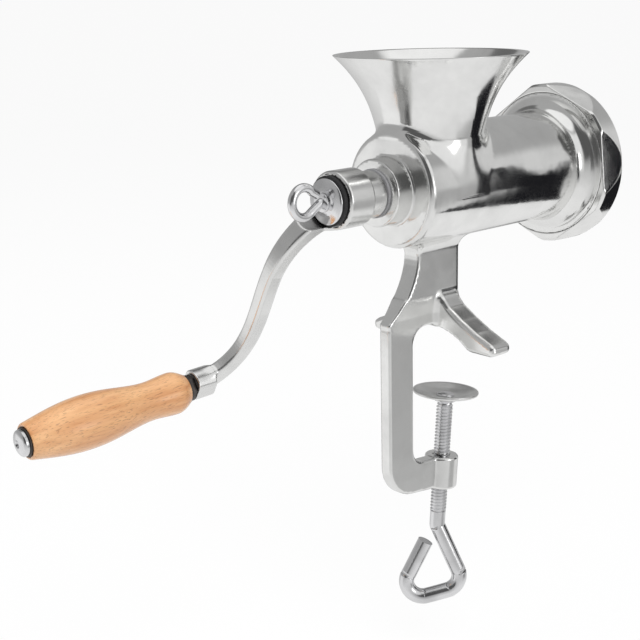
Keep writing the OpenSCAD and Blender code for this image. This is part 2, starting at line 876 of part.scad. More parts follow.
// Grip's radius at t, from 0 at its free end to 1 at the crank
function grip_r(t) =
    let (outer = grip_outer_d / 2, crest = grip_d / 2, waist = grip_waist_d / 2, inner = grip_inner_d / 2)
    t < crest_t ? outer + (crest - outer) * pow(sin(90 * t / crest_t), 1.05) :
    t < waist_t ? crest - (crest - waist) * ease(pow((t - crest_t) / (waist_t - crest_t), 1.15)) :
    t < neck_t ? waist + (inner - waist) * ease((t - waist_t) / (neck_t - waist_t)) :
    inner - 3 * (1 - cos(90 * (t - neck_t) / (1 - neck_t)));
crest_t = 0.36;
waist_t = 0.76;
neck_t = 0.92;

module grip() color("peru") {
    rings = 28;
    on_grip()
        difference() {
            turned(concat(
                [[0, grip_x0]],
                [for (i = [0:rings]) [grip_r(i / rings), grip_x0 + grip_l * i / rings]],
                [[0, grip_x1]]
            ));
            bar(pivot_fit_r, grip_x0 - 1, grip_x1 + 1);
            bar(grip_washer_d / 2 + clear, grip_x0 - 1, grip_x0 + outer_recess);
        }
}

module grip_bolt() color("gainsboro") {
    head_x1 = grip_x0 + outer_recess - grip_washer_t - 2 * seat_gap;
    rim_h1 = 1.4;
    rise = pivot_head_h - rim_h1;
    dome_r = (pow(pivot_head_d / 2, 2) + rise * rise) / (2 * rise);
    dome_a = asin(pivot_head_d / 2 / dome_r);
    on_grip() {
        bar(pivot_d / 2, head_x1 - bite, end_block_l - block_floor - clear);
        turned(concat(
            [[0, head_x1], [pivot_head_d / 2, head_x1]],
            arc([0, head_x1 - pivot_head_h + dome_r], dome_r, -90 + dome_a, -90, 8)
        ));
    }
}

module grip_washer(x) {
    on_grip()
        difference() {
            bar(grip_washer_d / 2, x, x + grip_washer_t);
            bar(pivot_fit_r, x - 1, x + grip_washer_t + 1);
        }
}

module grip_lock_nut() color("dimgray") {
    on_grip()
        difference() {
            rotate([0, 90, 0])
                translate([0, 0, nut_x0])
                    cylinder(d = lock_nut_af / cos(30), h = lock_nut_t, $fn = 6);
            bar(pivot_d / 2 + seat_gap, nut_x0 - 1, 1);
        }
}

module grip_inner_washer() color("dimgray") {
    grip_washer(inner_washer_x0);
}

module grip_outer_washer() color("dimgray") {
    grip_washer(grip_x0 + outer_recess - seat_gap - grip_washer_t);
}

// Middle line of the loop below the screw, as (across, up) from the screw's end
loop_lean = 33;
loop_sag = 4;
right_corner = [loop_w / 2, -loop_l];
left_corner = [-loop_w / 2 - 1, -loop_l - loop_sag];
bar_turn = atan(loop_sag / (loop_w + 1)) - 90;
loop_path = concat(
    [[0, 2], [0, -loop_straight]],
    arc([loop_neck, -loop_straight - 1], loop_neck, 190, 180 + loop_lean, 2),
    arc(right_corner, loop_r, loop_lean, bar_turn, 8),
    arc(left_corner, loop_r, bar_turn, -180 - loop_lean, 10),
    [[-loop_gap, -loop_end]]
);

module clamp_screw() color("silver") {
    on_screw() {
        translate([0, 0, neck_end - 1])
            cylinder(d = screw_d, h = screw_l + 1);
        translate([0, 0, screw_top - bite])
            cylinder(d = rivet_d, h = rivet_z + 2 * bite - screw_top);
        translate([0, 0, rivet_z])
            intersection() {
                cylinder(d = rivet_d + 5, h = rivet_h);
                translate([0, 0, rivet_h - rivet_dome_r])
                    sphere(r = rivet_dome_r);
            }
        rotate([0, 0, loop_turn])
            translate([0, 0, neck_end])
                rod(loop_path, loop_d);
    }
}

// Dished pad that swivels on the screw's riveted end
module pressure_pad() color("silver") {
    flat_r = rivet_d / 2 + 4;
    rim = pad_d / 2;
    on_screw()
        rotate_extrude()
            polygon([
                [rivet_hole_r, pad_z],
                [flat_r, pad_z],
                [rim, pad_up - pad_t],
                [rim, pad_up],
                [rim - 2, pad_up],
                [flat_r + 1, pad_z + pad_t],
                [rivet_hole_r, pad_z + pad_t]
            ]);
}

module pad_washer() color("gray") {
    on_screw()
        translate([0, 0, pad_washer_z])
            difference() {
                cylinder(d = screw_d + 3, h = pad_washer_t);
                translate([0, 0, -1])
                    cylinder(r = rivet_hole_r, h = pad_washer_t + 2);
            }
}

cast_body();
ring_nut();
hole_plate();
plate_key_pin();
cutting_knife();
knife_spindle();
worm();
thrust_washer();
rear_bush();
crank_arm();
hub_seal();
cup_washer();
eye_bolt();
grip();
grip_bolt();
grip_lock_nut();
grip_inner_washer();
grip_outer_washer();
clamp_screw();
pressure_pad();
pad_washer();
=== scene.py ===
import json
import math
from functools import cache, reduce

import bmesh
import bpy
import numpy as np
from bpy.props import FloatProperty, FloatVectorProperty, IntProperty, PointerProperty
from bpy.types import Operator, Panel, PropertyGroup
from mathutils import Matrix, Vector


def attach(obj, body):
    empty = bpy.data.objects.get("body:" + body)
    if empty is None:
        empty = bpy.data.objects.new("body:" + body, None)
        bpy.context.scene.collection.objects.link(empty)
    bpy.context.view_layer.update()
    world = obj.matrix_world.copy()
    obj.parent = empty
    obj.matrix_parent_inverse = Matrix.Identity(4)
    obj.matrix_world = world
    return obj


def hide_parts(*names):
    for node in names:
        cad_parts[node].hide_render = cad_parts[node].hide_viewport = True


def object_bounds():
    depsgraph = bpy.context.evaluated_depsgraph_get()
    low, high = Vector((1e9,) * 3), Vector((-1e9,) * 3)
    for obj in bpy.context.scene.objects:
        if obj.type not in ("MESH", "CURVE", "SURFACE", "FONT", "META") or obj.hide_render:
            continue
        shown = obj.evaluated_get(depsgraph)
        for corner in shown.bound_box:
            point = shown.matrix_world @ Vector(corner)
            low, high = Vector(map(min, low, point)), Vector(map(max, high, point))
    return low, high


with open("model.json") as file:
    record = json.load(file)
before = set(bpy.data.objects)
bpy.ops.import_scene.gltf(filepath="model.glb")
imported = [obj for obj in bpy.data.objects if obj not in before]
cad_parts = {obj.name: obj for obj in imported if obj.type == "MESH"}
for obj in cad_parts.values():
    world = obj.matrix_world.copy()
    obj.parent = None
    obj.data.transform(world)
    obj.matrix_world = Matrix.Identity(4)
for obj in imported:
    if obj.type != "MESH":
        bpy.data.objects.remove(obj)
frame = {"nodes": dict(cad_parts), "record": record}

bl_info = {
    "name": "Hand crank meat grinder",
    "version": (1, 0, 0),
    "blender": (4, 5, 0),
    "location": "View3D > Sidebar > Grinder",
    "description": "Builds the castings, screws, grip and finishes of a table grinder",
    "category": "Add Mesh",
}

CAD_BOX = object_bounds()
RECORD = frame["record"]
BODY_OF = {n: b for b, members in RECORD["behaviour"]["bodies"].items() for n in members}
SLOT_OF = {p["node"]: p["material_slot"] for p in RECORD["subparts"]}
MM = 0.001

# Main sizes of the solids, in millimetres; x runs along the worm axis from the hopper's axis
AXIS_H = 93.5
HOPPER_X = -7.9
BARREL_R = 32.2
BARREL_X0, BELL_X0, BELL_X1 = -33.1, 100.9, 110.9
BELL_R, COLLAR_R, COLLAR_X0 = 43.0, 18.5, -44.9
BORE_R, BORE_X0 = 27.6, -28.1
BUSH_R, BUSH_X0, JOURNAL_R = 11.56, -46.22, 9.5
PLATE_X0, PLATE_T, PLATE_R, SEAT_R = 105.5, 6.0, 35.0, 35.2
KNIFE_T, ROOM_R = 6.0, 32.0
KNIFE_X0 = PLATE_X0 - 0.08 - KNIFE_T
ROOM_X0 = KNIFE_X0 - 1.6
RING_X0, RING_X1, RING_R = 101.32, 115.92, 48.0
HUB_X0, HUB_MID, HUB_X1 = -76.12, -58.12, -46.62
DRIVE_X0 = -70.62
CRANK_R, CRANK_REST = 124.5, 32.0
BLOCK_X0, BLOCK_X1 = -124.72, -112.22
GRIP_TILT, GRIP_L, GRIP_X1 = 3.8, 97.0, -4.64
GRIP_X0 = GRIP_X1 - GRIP_L
SCREW_X, JAW_Z, LEAN = 2.0, -71.0, 5.0
PAD_UP, PAD_Z, SCREW_TOP, NECK_END = 39.75, 34.75, 33.11, -37.89


# ---- places

def turned_by(angle, axis):
    """A rotation by an angle in degrees."""
    return Matrix.Rotation(math.radians(angle), 4, axis)


ON_AXIS = Matrix.Translation((HOPPER_X, 0, AXIS_H))
ON_CRANK = ON_AXIS @ turned_by(CRANK_REST, "X")
ON_GRIP = ON_CRANK @ Matrix.Translation((BLOCK_X0, 0, -CRANK_R)) @ turned_by(-GRIP_TILT, "Y")
ON_SCREW = Matrix.Translation((SCREW_X, 0, JAW_Z)) @ turned_by(LEAN, "Y")
X_UP = turned_by(-90, "Y")
IN_MM = Matrix.Scale(MM, 4)


# ---- node trees

def both_ways(operation):
    """The methods for a value ahead of the other one, and for a value behind it."""

    def ahead(self, other):
        return self.tree.math(operation, self, other)

    def behind(self, other):
        return self.tree.math(operation, other, self)

    return ahead, behind


class Value:
    """A socket of a node tree: arithmetic on it adds Math nodes."""

    __add__, __radd__ = both_ways("ADD")
    __sub__, __rsub__ = both_ways("SUBTRACT")
    __mul__, __rmul__ = both_ways("MULTIPLY")
    __truediv__, __rtruediv__ = both_ways("DIVIDE")
    __gt__, __lt__ = both_ways("GREATER_THAN")

    def __init__(self, tree, socket):
        self.tree, self.socket = tree, socket

    def math(self, operation, *others):
        return self.tree.math(operation, self, *others)


class Tree:
    """Adds nodes to a shader or geometry tree."""

    def __init__(self, tree):
        self.tree = tree

    def node(self, kind, sockets=None, out=0, **settings):
        """A node with its settings, and the values or links of its sockets."""
        made = self.tree.nodes.new(kind)
        for key, value in settings.items():
            setattr(made, key, value)
        for key, value in (sockets or {}).items():
            socket = made.inputs[key]
            if isinstance(value, Value):
                self.tree.links.new(socket, value.socket)
            else:
                socket.default_value = value
        return Value(self, made.outputs[out]) if made.outputs else None

    def math(self, operation, *values):
        return self.node("ShaderNodeMath", dict(enumerate(values)), operation=operation)

    def parts(self, vector):
        """The X, Y and Z of a vector."""
        split = self.node("ShaderNodeSeparateXYZ", {0: vector}).socket.node
        return [Value(self, socket) for socket in split.outputs]

    def vector(self, **parts):
        return self.node("ShaderNodeCombineXYZ", parts)

    def mix(self, factor, a, b):
        return self.node("ShaderNodeMix", {0: factor, 6: a, 7: b}, 2, data_type="RGBA")

    def noise(self, place, scale, detail=2.0, rough=0.5):
        sockets = {"Vector": place, "Scale": scale, "Detail": detail, "Roughness": rough}
        return self.node("ShaderNodeTexNoise", sockets, "Fac")

    def band(self, value, low, high, to_low, to_high):
        sockets = {1: low, 2: high, 3: to_low, 4: to_high}
        return self.node("ShaderNodeMapRange", {0: value, **sockets})


# ---- finishes

def rgba(colour):
    return (*colour[:3], 1.0)


def toned(colour, share):
    return tuple(share * c for c in colour)


def cleared(owner):
    """The node tree of a new material or world, emptied."""
    owner.use_nodes = True
    owner.node_tree.nodes.clear()
    return Tree(owner.node_tree)


def material_of(name, shader):
    """A material; shader() adds its nodes to a tree and returns the last one."""
    material = bpy.data.materials.new(name)
    tree = cleared(material)
    tree.node("ShaderNodeOutputMaterial", {"Surface": shader(tree)})
    return material


def surface(name, sockets, paint):
    """A material: constants go straight to the shader, paint() links what varies."""

    def shader(tree):
        place = tree.node("ShaderNodeTexCoord", out="Object")
        return tree.node("ShaderNodeBsdfPrincipled", {**sockets, **paint(tree, place)})

    return material_of(name, shader)


def bumped(tree, height, strength, distance):
    return tree.node(
        "ShaderNodeBump", {"Height": height, "Strength": strength, "Distance": distance}
    )


def stretched(tree, place, scale, rotation=(0, 0, 0)):
    return tree.node(
        "ShaderNodeMapping", {"Vector": place, "Scale": scale, "Rotation": rotation}
    )


def spotted(tree, colour, share, mask):
    """A colour that is toned by a share where the mask is 1."""
    return tree.mix(mask, rgba(colour), rgba(toned(colour, share)))


def polished(name, colour, low, high, wave, satin=0.0, below=0.0):
    """Polished cast metal: satin patches, soft waves left by the buffing wheel, fine scratches.

    Where the wheel reaches badly, below a height, it stays rougher by satin."""

    def paint(tree, place):
        patches = tree.noise(place, 38.0, 4.0, 0.6)
        fine = tree.noise(stretched(tree, place, (260, 2400, 260)), 1.0, 2.0)
        waves = tree.noise(place, 85.0, 1.0, 0.4)
        rough = tree.band(patches, 0.35, 0.72, low, high) + fine * 0.05
        if satin:
            height = tree.parts(place)[2]
            rough = rough + tree.band(height, below - 0.012, below + 0.004, satin, 0)
        return {
            "Base Color": spotted(tree, colour, 0.86, tree.band(patches, 0.4, 0.8, 0, 1)),
            "Roughness": rough,
            "Normal": bumped(tree, waves + fine * 0.03, wave, 0.0009),
        }

    return surface(name, {"Metallic": 1.0}, paint)


def ground(name, colour, low, high, wave=0.1):
    """Machined or ground metal with a fine lay."""

    def paint(tree, place):
        lay = tree.noise(stretched(tree, place, (300, 3000, 300)), 1.0, 3.0)
        stain = tree.noise(place, 60.0, 3.0)
        return {
            "Base Color": spotted(tree, colour, 0.75, tree.band(stain, 0.4, 0.75, 0, 1)),
            "Roughness": tree.band(lay, 0.3, 0.7, low, high),
            "Normal": bumped(tree, lay, wave, 0.0003),
        }

    return surface(name, {"Metallic": 1.0}, paint)


def moulded(name, colour, low, high):
    """Plastic or rubber with a faint moulded grain."""

    def paint(tree, place):
        fine = tree.noise(place, 900.0, 2.0)
        cloud = tree.noise(place, 50.0, 2.0)
        return {
            "Base Color": spotted(tree, colour, 0.8, cloud),
            "Roughness": tree.band(fine, 0.3, 0.7, low, high),
            "Normal": bumped(tree, fine, 0.15, 0.0002),
        }

    return surface(name, {}, paint)


def beech(light, dark):
    """Lacquered beech: long grain and short dark flecks along the turned grip."""

    def paint(tree, place):
        local = stretched(tree, place, (1, 1, 1), tuple(ON_GRIP.inverted().to_euler()))
        grain = tree.noise(stretched(tree, local, (14, 190, 190)), 1.0, 4.0, 0.6)
        flecks = tree.noise(stretched(tree, local, (190, 2300, 2300)), 1.0, 1.0)
        fleck = tree.band(flecks, 0.60, 0.68, 0, 1)
        wood = tree.mix(tree.band(grain, 0.30, 0.74, 0, 1), rgba(light), rgba(dark))
        return {
            "Base Color": tree.mix(fleck * 0.5, wood, rgba(toned(dark, 0.42))),
            "Roughness": tree.band(grain, 0.3, 0.7, 0.36, 0.5),
            "Normal": bumped(tree, grain - fleck * 0.3, 0.12, 0.0004),
        }

    return surface("lacquered beech", {"Coat Weight": 1.0, "Coat Roughness": 0.2}, paint)


FINISHES = {}


def make_finishes(look):
    metal = tuple(look.aluminium)
    FINISHES.update({
        "cast_aluminium": polished(
            "polished cast aluminium", metal, 0.05, 0.17, 0.16, satin=0.08, below=0.06
        ),
        "ring_aluminium": polished("polished ring nut", metal, 0.05, 0.16, 0.14),
        "crank_aluminium": polished("satin crank", toned(metal, 0.96), 0.17, 0.3, 0.12),
        "worm_aluminium": polished("as-cast worm", (0.7, 0.7, 0.69), 0.38, 0.55, 0.7),
        "plate_steel": ground("ground plate", (0.62, 0.62, 0.63), 0.24, 0.4),
        "knife_steel": ground("ground knife", (0.5, 0.51, 0.53), 0.22, 0.42),
        "pin_steel": ground("turned steel", (0.56, 0.56, 0.57), 0.22, 0.38),
        "screw_steel": ground("zinc-plated screw", (0.78, 0.78, 0.79), 0.1, 0.2),
        "plated_steel": ground("bright plated steel", (0.83, 0.83, 0.84), 0.08, 0.2, wave=0.04),
        "satin_plate": ground("satin plated pad", (0.86, 0.86, 0.85), 0.3, 0.46, wave=0.25),
        "dark_steel": ground("blackened steel", (0.11, 0.1, 0.095), 0.34, 0.5),
        "nylon": moulded("white nylon", (0.82, 0.8, 0.74), 0.4, 0.52),
        "bush_grey": moulded("grey bush", (0.34, 0.34, 0.35), 0.35, 0.48),
        "black_rubber": moulded("black rubber", (0.018, 0.018, 0.019), 0.5, 0.68),
        "beech": beech(tuple(look.wood_light), tuple(look.wood_dark)),
    })


# ---- meshes

def linked(name, data):
    """A new object in the scene."""
    piece = bpy.data.objects.new(name, data)
    bpy.context.scene.collection.objects.link(piece)
    return piece


def dress(piece, *nodes, finish=None):
    """A finished piece stands for its solids, moves with their body and takes their finish."""
    slot = SLOT_OF[nodes[0]]
    piece.data.materials.clear()
    piece.data.materials.append(FINISHES[finish or slot])
    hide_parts(*nodes)
    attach(piece, BODY_OF[nodes[0]])


def solid(name, points, faces, place=Matrix(), edge_angle=32.0, normals=None):
    """A mesh object from millimetres in its own place; normals, if given, are exact."""
    mesh = bpy.data.meshes.new(name)
    mesh.from_pydata([tuple(p) for p in points], [], [tuple(f) for f in faces])
    mesh.transform(IN_MM @ place)
    mesh.validate()
    mesh.shade_smooth()
    if normals is None:
        tidy(mesh)
        mesh.set_sharp_from_angle(angle=math.radians(edge_angle))
    else:
        turn = place.to_3x3()
        mesh.normals_split_custom_set_from_vertices([turn @ Vector(n) for n in normals])
    return linked(name, mesh)


WELD = 2e-6  # points closer than this, in metres, are one point


def tidy(mesh, reach=0.5 * WELD):
    """Merges doubles, closes open ends and turns the faces outward."""
    shape = bmesh.new()
    shape.from_mesh(mesh)
    bmesh.ops.remove_doubles(shape, verts=shape.verts, dist=reach)
    bmesh.ops.dissolve_degenerate(shape, edges=shape.edges, dist=reach)
    open_edges = [e for e in shape.edges if len(e.link_faces) == 1]
    if open_edges:
        bmesh.ops.holes_fill(shape, edges=open_edges, sides=0)
    bmesh.ops.recalc_face_normals(shape, faces=shape.faces)
    shape.to_mesh(mesh)
    shape.free()


def joined(name, parts):
    """One object from several closed shells of the same piece, with the normals they had."""
    shape, normals = bmesh.new(), []
    for part in parts:
        part.data.materials.clear()
        shape.from_mesh(part.data)
        normals += [tuple(n.vector) for n in part.data.corner_normals]
    mesh = bpy.data.meshes.new(name)
    shape.to_mesh(mesh)
    shape.free()
    for part in parts:
        bpy.data.objects.remove(part)
    mesh.shade_smooth()
    mesh.normals_split_custom_set(normals)
    return linked(name, mesh)


def applied(piece):
    """Turns the evaluated object into a plain mesh and takes its modifiers off."""
    bpy.context.view_layer.update()
    graph = bpy.context.evaluated_depsgraph_get()
    mesh = bpy.data.meshes.new_from_object(piece.evaluated_get(graph), depsgraph=graph)
    piece.modifiers.clear()
    piece.data = mesh
    return piece


def smooth_past(mesh, edge_angle):
    """Smooth shading, with the edges past an angle kept sharp."""
    mesh.shade_smooth()
    mesh.set_sharp_from_angle(angle=math.radians(edge_angle))


def bevelled(node, width):
    """A copy of a machined solid with its sharp edges broken."""
    shape = bmesh.new()
    shape.from_mesh(frame["nodes"][node].data)
    bmesh.ops.remove_doubles(shape, verts=shape.verts, dist=WELD)
    bmesh.ops.dissolve_limit(
        shape, angle_limit=math.radians(1), verts=shape.verts, edges=shape.edges
    )
    mesh = bpy.data.meshes.new(node + "_shape")
    shape.to_mesh(mesh)
    shape.free()
    piece = linked(node + "_finished", mesh)
    bevel = piece.modifiers.new("Bevel", "BEVEL")
    bevel.width, bevel.segments = width * MM, 2
    bevel.limit_method, bevel.angle_limit = "ANGLE", math.radians(35)
    applied(piece)
    smooth_past(piece.data, 34)
    return piece


def soften(points, radius, closed, steps=3):
    """Rounds the corners of a profile."""
    out, n = [], len(points)
    for i, p in enumerate(points):
        if not closed and i in (0, n - 1):
            out.append(p)
            continue
        a, c, b = (Vector(points[i - 1]), Vector(p), Vector(points[(i + 1) % n]))
        reach = min(radius, 0.45 * (a - c).length, 0.45 * (b - c).length)
        p0 = c + (a - c).normalized() * reach
        p1 = c + (b - c).normalized() * reach
        for k in range(steps + 1):
            t = k / steps
            out.append(tuple(p0 * (1 - t) ** 2 + c * 2 * t * (1 - t) + p1 * t * t))
    return out


def wrapped(rows, sides, closed=False):
    """Faces between rows of points that each go round; closed joins the last to the first."""
    faces = []
    for i in range(rows if closed else rows - 1):
        j = (i + 1) % rows
        for k in range(sides):
            m = (k + 1) % sides
            faces.append((i * sides + k, i * sides + m, j * sides + m, j * sides + k))
    return faces


def tube(bore, rim, x0, x1):
    """The profile of a plain ring, or of a disc if it has no bore."""
    return [(bore, x0), (rim, x0), (rim, x1), (bore, x1)]


def lathe(name, profile, place, radius=0.3, sides=96, edge_angle=32.0):
    """Turns a profile of (radius, x) about X; it is a ring if it never meets the axis."""
    closed = all(p[0] > 0 for p in profile)
    line = soften(profile, radius, closed) if radius else profile
    points = [
        (x, r * math.cos(2 * math.pi * k / sides), r * math.sin(2 * math.pi * k / sides))
        for r, x in line
        for k in range(sides)
    ]
    return solid(name, points, wrapped(len(line), sides, closed), place, edge_angle)


# ---- distances for the castings

def box2(u, v, hu, hv, edge=0.0):
    """Distance to a rectangle of half sizes hu and hv, with rounded corners."""
    qu, qv = np.abs(u) - hu + edge, np.abs(v) - hv + edge
    outside = np.hypot(np.maximum(qu, 0), np.maximum(qv, 0))
    return outside + np.minimum(np.maximum(qu, qv), 0) - edge


def bar(r, x, radius, x0, x1, edge=0.0):
    """Distance to a round bar from x0 to x1."""
    return box2(r, x - (x0 + x1) / 2, radius, (x1 - x0) / 2, edge)


def join(a, b, r):
    """Both shapes, with a fillet of radius r between them."""
    return np.maximum(r, np.minimum(a, b)) - np.hypot(np.maximum(r - a, 0), np.maximum(r - b, 0))


def meet(a, b, r):
    """Where the shapes overlap, with the edge between them rounded to r."""
    return np.minimum(-r, np.maximum(a, b)) + np.hypot(np.maximum(r + a, 0), np.maximum(r + b, 0))


def turned(u, v, angle):
    """Coordinates in a frame that is turned by an angle in radians."""
    c, s = math.cos(angle), math.sin(angle)
    return u * c - v * s, u * s + v * c


def nearest(u, v, a, b):
    """How far along a line from a to b its nearest point is, and how far off that is."""
    eu, ev = b[0] - a[0], b[1] - a[1]
    wu, wv = u - a[0], v - a[1]
    t = np.clip((wu * eu + wv * ev) / (eu * eu + ev * ev), 0, 1)
    return t, np.hypot(wu - eu * t, wv - ev * t)


def outline(u, v, points):
    """Signed distance to a polygon."""
    best, sign = np.inf, 1.0
    for a, b in zip(points, points[-1:] + points[:-1]):
        best = np.minimum(best, nearest(u, v, a, b)[1])
        left = (b[0] - a[0]) * (v - a[1]) > (b[1] - a[1]) * (u - a[0])
        c1, c2 = v >= a[1], v < b[1]
        sign = np.where((c1 & c2 & left) | (~c1 & ~c2 & ~left), -sign, sign)
    return sign * best


def arc(c, r, a0, a1, n=10):
    """Points of an arc between two angles in degrees."""
    angles = [math.radians(a0 + (a1 - a0) * i / n) for i in range(n + 1)]
    return [(c[0] + r * math.cos(a), c[1] + r * math.sin(a)) for a in angles]


def ticks(*spans):
    """Grid lines: the first place, then each stretch's end and its spacing."""
    out = [spans[0]]
    for end, step in spans[1:]:
        n = max(1, round((end - out[-1]) / step))
        start = out[-1]
        out += [start + (end - start) * (i + 1) / n for i in range(n)]
    return np.array(out)


def square(a, b, c):
    return a, b, c


def polar(r, angle, along):
    return along, r * np.cos(angle), r * np.sin(angle)


# How points are drawn onto a surface: rounds, longest move and probe in millimetres, and
# the smallest squared slope that is trusted
DRAWS, LONGEST_DRAW, PROBE, LEAST_SLOPE = 4, 0.7, 0.02, 0.2


def skin(name, field, axes, place=Matrix(), space=square):
    """Meshes where a distance changes sign, one point in each cell, drawn onto the surface.

    In polar space the axes are radius, angle and distance along X, and the angle closes
    on itself."""
    shape = tuple(len(a) for a in axes)
    grid = [a.reshape([-1 if i == k else 1 for i in range(3)]) for k, a in enumerate(axes)]
    values = np.broadcast_to(field(*space(*grid)), shape)
    inside = values < 0
    cells = tuple(s - 1 for s in shape)
    quads, ids, places = [], [], []
    for axis in range(3):
        lo = tuple(slice(0, -1) if k == axis else slice(None) for k in range(3))
        hi = tuple(slice(1, None) if k == axis else slice(None) for k in range(3))
        cross = inside[lo] != inside[hi]
        if space is polar and axis != 1:
            cross[:, -1, :] = False
        at = np.argwhere(cross)
        f0, f1 = values[lo][cross], values[hi][cross]
        t = f0 / (f0 - f1)
        p = np.stack([axes[k][at[:, k]] for k in range(3)], 1).astype(float)
        p[:, axis] += t * (axes[axis][at[:, axis] + 1] - axes[axis][at[:, axis]])
        u, v = (axis + 1) % 3, (axis + 2) % 3
        ring = []
        for du, dv in ((0, 0), (-1, 0), (-1, -1), (0, -1)):
            c = at.copy()
            c[:, u] += du
            c[:, v] += dv
            if space is polar:
                c[:, 1] %= cells[1]
            ring.append(np.ravel_multi_index(tuple(c.T), cells))
        ring = np.stack(ring, 1)
        solid_low = inside[lo][cross]
        quads.append(np.where(solid_low[:, None], ring, ring[:, ::-1]))
        ids.append(ring.ravel())
        places.append(np.repeat(np.stack(space(*p.T), 1), 4, axis=0))
    ids, places = np.concatenate(ids), np.concatenate(places)
    used, index = np.unique(ids, return_inverse=True)
    count = np.bincount(index)
    points = np.stack([np.bincount(index, places[:, k]) / count for k in range(3)], 1)
    faces = np.searchsorted(used, np.concatenate(quads))
    for _ in range(DRAWS):
        value, slope = sampled(field, points)
        size = np.maximum((slope ** 2).sum(1), LEAST_SLOPE)
        move = slope * (value / size)[:, None]
        length = np.linalg.norm(move, axis=1)
        points = points - move * np.minimum(1, LONGEST_DRAW / np.maximum(length, 1e-9))[:, None]
    slope = sampled(field, points)[1]
    slope /= np.maximum(np.linalg.norm(slope, axis=1), 1e-9)[:, None]
    return solid(name, points, faces, place, normals=slope)


def sampled(field, points):
    """A distance and its slope at each point."""
    slope = []
    for k in range(3):
        step = np.zeros((3, 1))
        step[k] = PROBE
        slope.append(field(*(points.T + step)) - field(*(points.T - step)))
    return field(*points.T), np.stack(slope, 1) / (2 * PROBE)


# ---- cast body

# The hopper: a straight throat up to THROAT_Z above the axis, and then a flare whose
# radius grows by SWELL on its way to the mouth
THROAT_R, THROAT_Z, MOUTH_Z, SWELL = 29.6, 28.0, 71.7, 24.4
FLARE_H = MOUTH_Z - THROAT_Z
HOPPER_WALL = 3.0


def hopper_radius(z):
    t = np.clip((z - THROAT_Z) / FLARE_H, 0, None)
    return THROAT_R + SWELL * (0.41 * t + 0.59 * t ** 2.63)


def hopper_side(r, z, depth):
    """Distance to the hopper's side, moved inward by a depth."""
    t = np.clip((z - THROAT_Z) / FLARE_H, 0, None)
    slope = SWELL * (0.41 + 1.5517 * t ** 1.63) / FLARE_H * (t > 0)
    return (r - hopper_radius(z) + depth) / np.sqrt(1 + slope ** 2)


def neck_points():
    """Outline of the neck from the side, with its hollowed back."""
    back = [
        (-44.6 + 21.0 * (1 - (1 - i / 10) ** 1.9), 18.0 + 38.5 * i / 10)
        for i in range(11)
    ]
    return back + [(-23.6, 73.5), (10.0, 73.5), (10.0, 22.0), (-8.0, 26.0), (-32.2, 21.0)]


def spine_points():
    """Outline of the C-shaped clamp frame from the side."""
    lean = math.tan(math.radians(LEAN))
    top, inner = JAW_Z - 9 * lean, JAW_Z + 28.2 * lean
    low = top - 19.5
    return (
        [(-45.6, 14.0), (-44.6, 18.0), (-38.0, 24.0), (-33.6, 29.0), (0.0, 29.0), (0.0, 12.7)]
        + arc((-16.2, 2.7), 10, 90, 180, 6)
        + arc((-17.2, inner + 8), 9, 180, 265, 6)
        + [(11.0, top), (11.0, low + 2), (8.0, low)]
        + arc((-25.6, low + 24), 20, 262, 180)
    )


def feet_points():
    """Outline of both feet from the front."""
    tip = [
        (29.0, 0.0), (44.0, 0.0), (46.1, 0.9), (47.0, 3.0), (46.6, 5.4), (44.6, 7.0),
        (33.0, 12.0), (22.0, 17.9), (13.0, 23.6), (8.0, 29.0),
    ]
    return tip + [(0.0, 30.0)] + [(-y, z) for y, z in tip[::-1]]


FLARE_Z, RIM_Z, FLARE_ROWS = 45.0, 70.0, 28


def flare():
    """The hopper's round flare above its fillet, turned so that its thin rim stays clean."""
    heights = [FLARE_Z, FLARE_Z + 0.05]
    heights += [FLARE_Z + (RIM_Z - FLARE_Z) * (i + 1) / FLARE_ROWS for i in range(FLARE_ROWS)]
    side = [(float(hopper_radius(z)), z) for z in heights]
    mouth_r = THROAT_R + SWELL
    outer = side + [(mouth_r, MOUTH_Z)]
    inner = [(mouth_r - HOPPER_WALL, MOUTH_Z)] + [(r - HOPPER_WALL, z) for r, z in side[::-1]]
    return lathe("hopper_flare", outer + inner, ON_AXIS @ X_UP, 0.9, 144, 60)


NECK, SPINE, FEET = neck_points(), spine_points(), feet_points()
# The arch between the feet is as wide as their inner ends and ARCH_H high
ARCH_HALF, ARCH_H = 29.0, 11.5
ARCH_R = (ARCH_HALF ** 2 + ARCH_H ** 2) / (2 * ARCH_H)
# Fillets where the body's parts run into each other
BELL_FILLET, COLLAR_FILLET, HOPPER_FILLET, FEET_FILLET, NECK_FILLET = 9.8, 1.5, 5.5, 4.5, 7.0
# The boss in the jaw that the clamp screw runs through
BOSS_R, BOSS_H, BOSS_BORE_R = 10.0, 19.775, 4.91


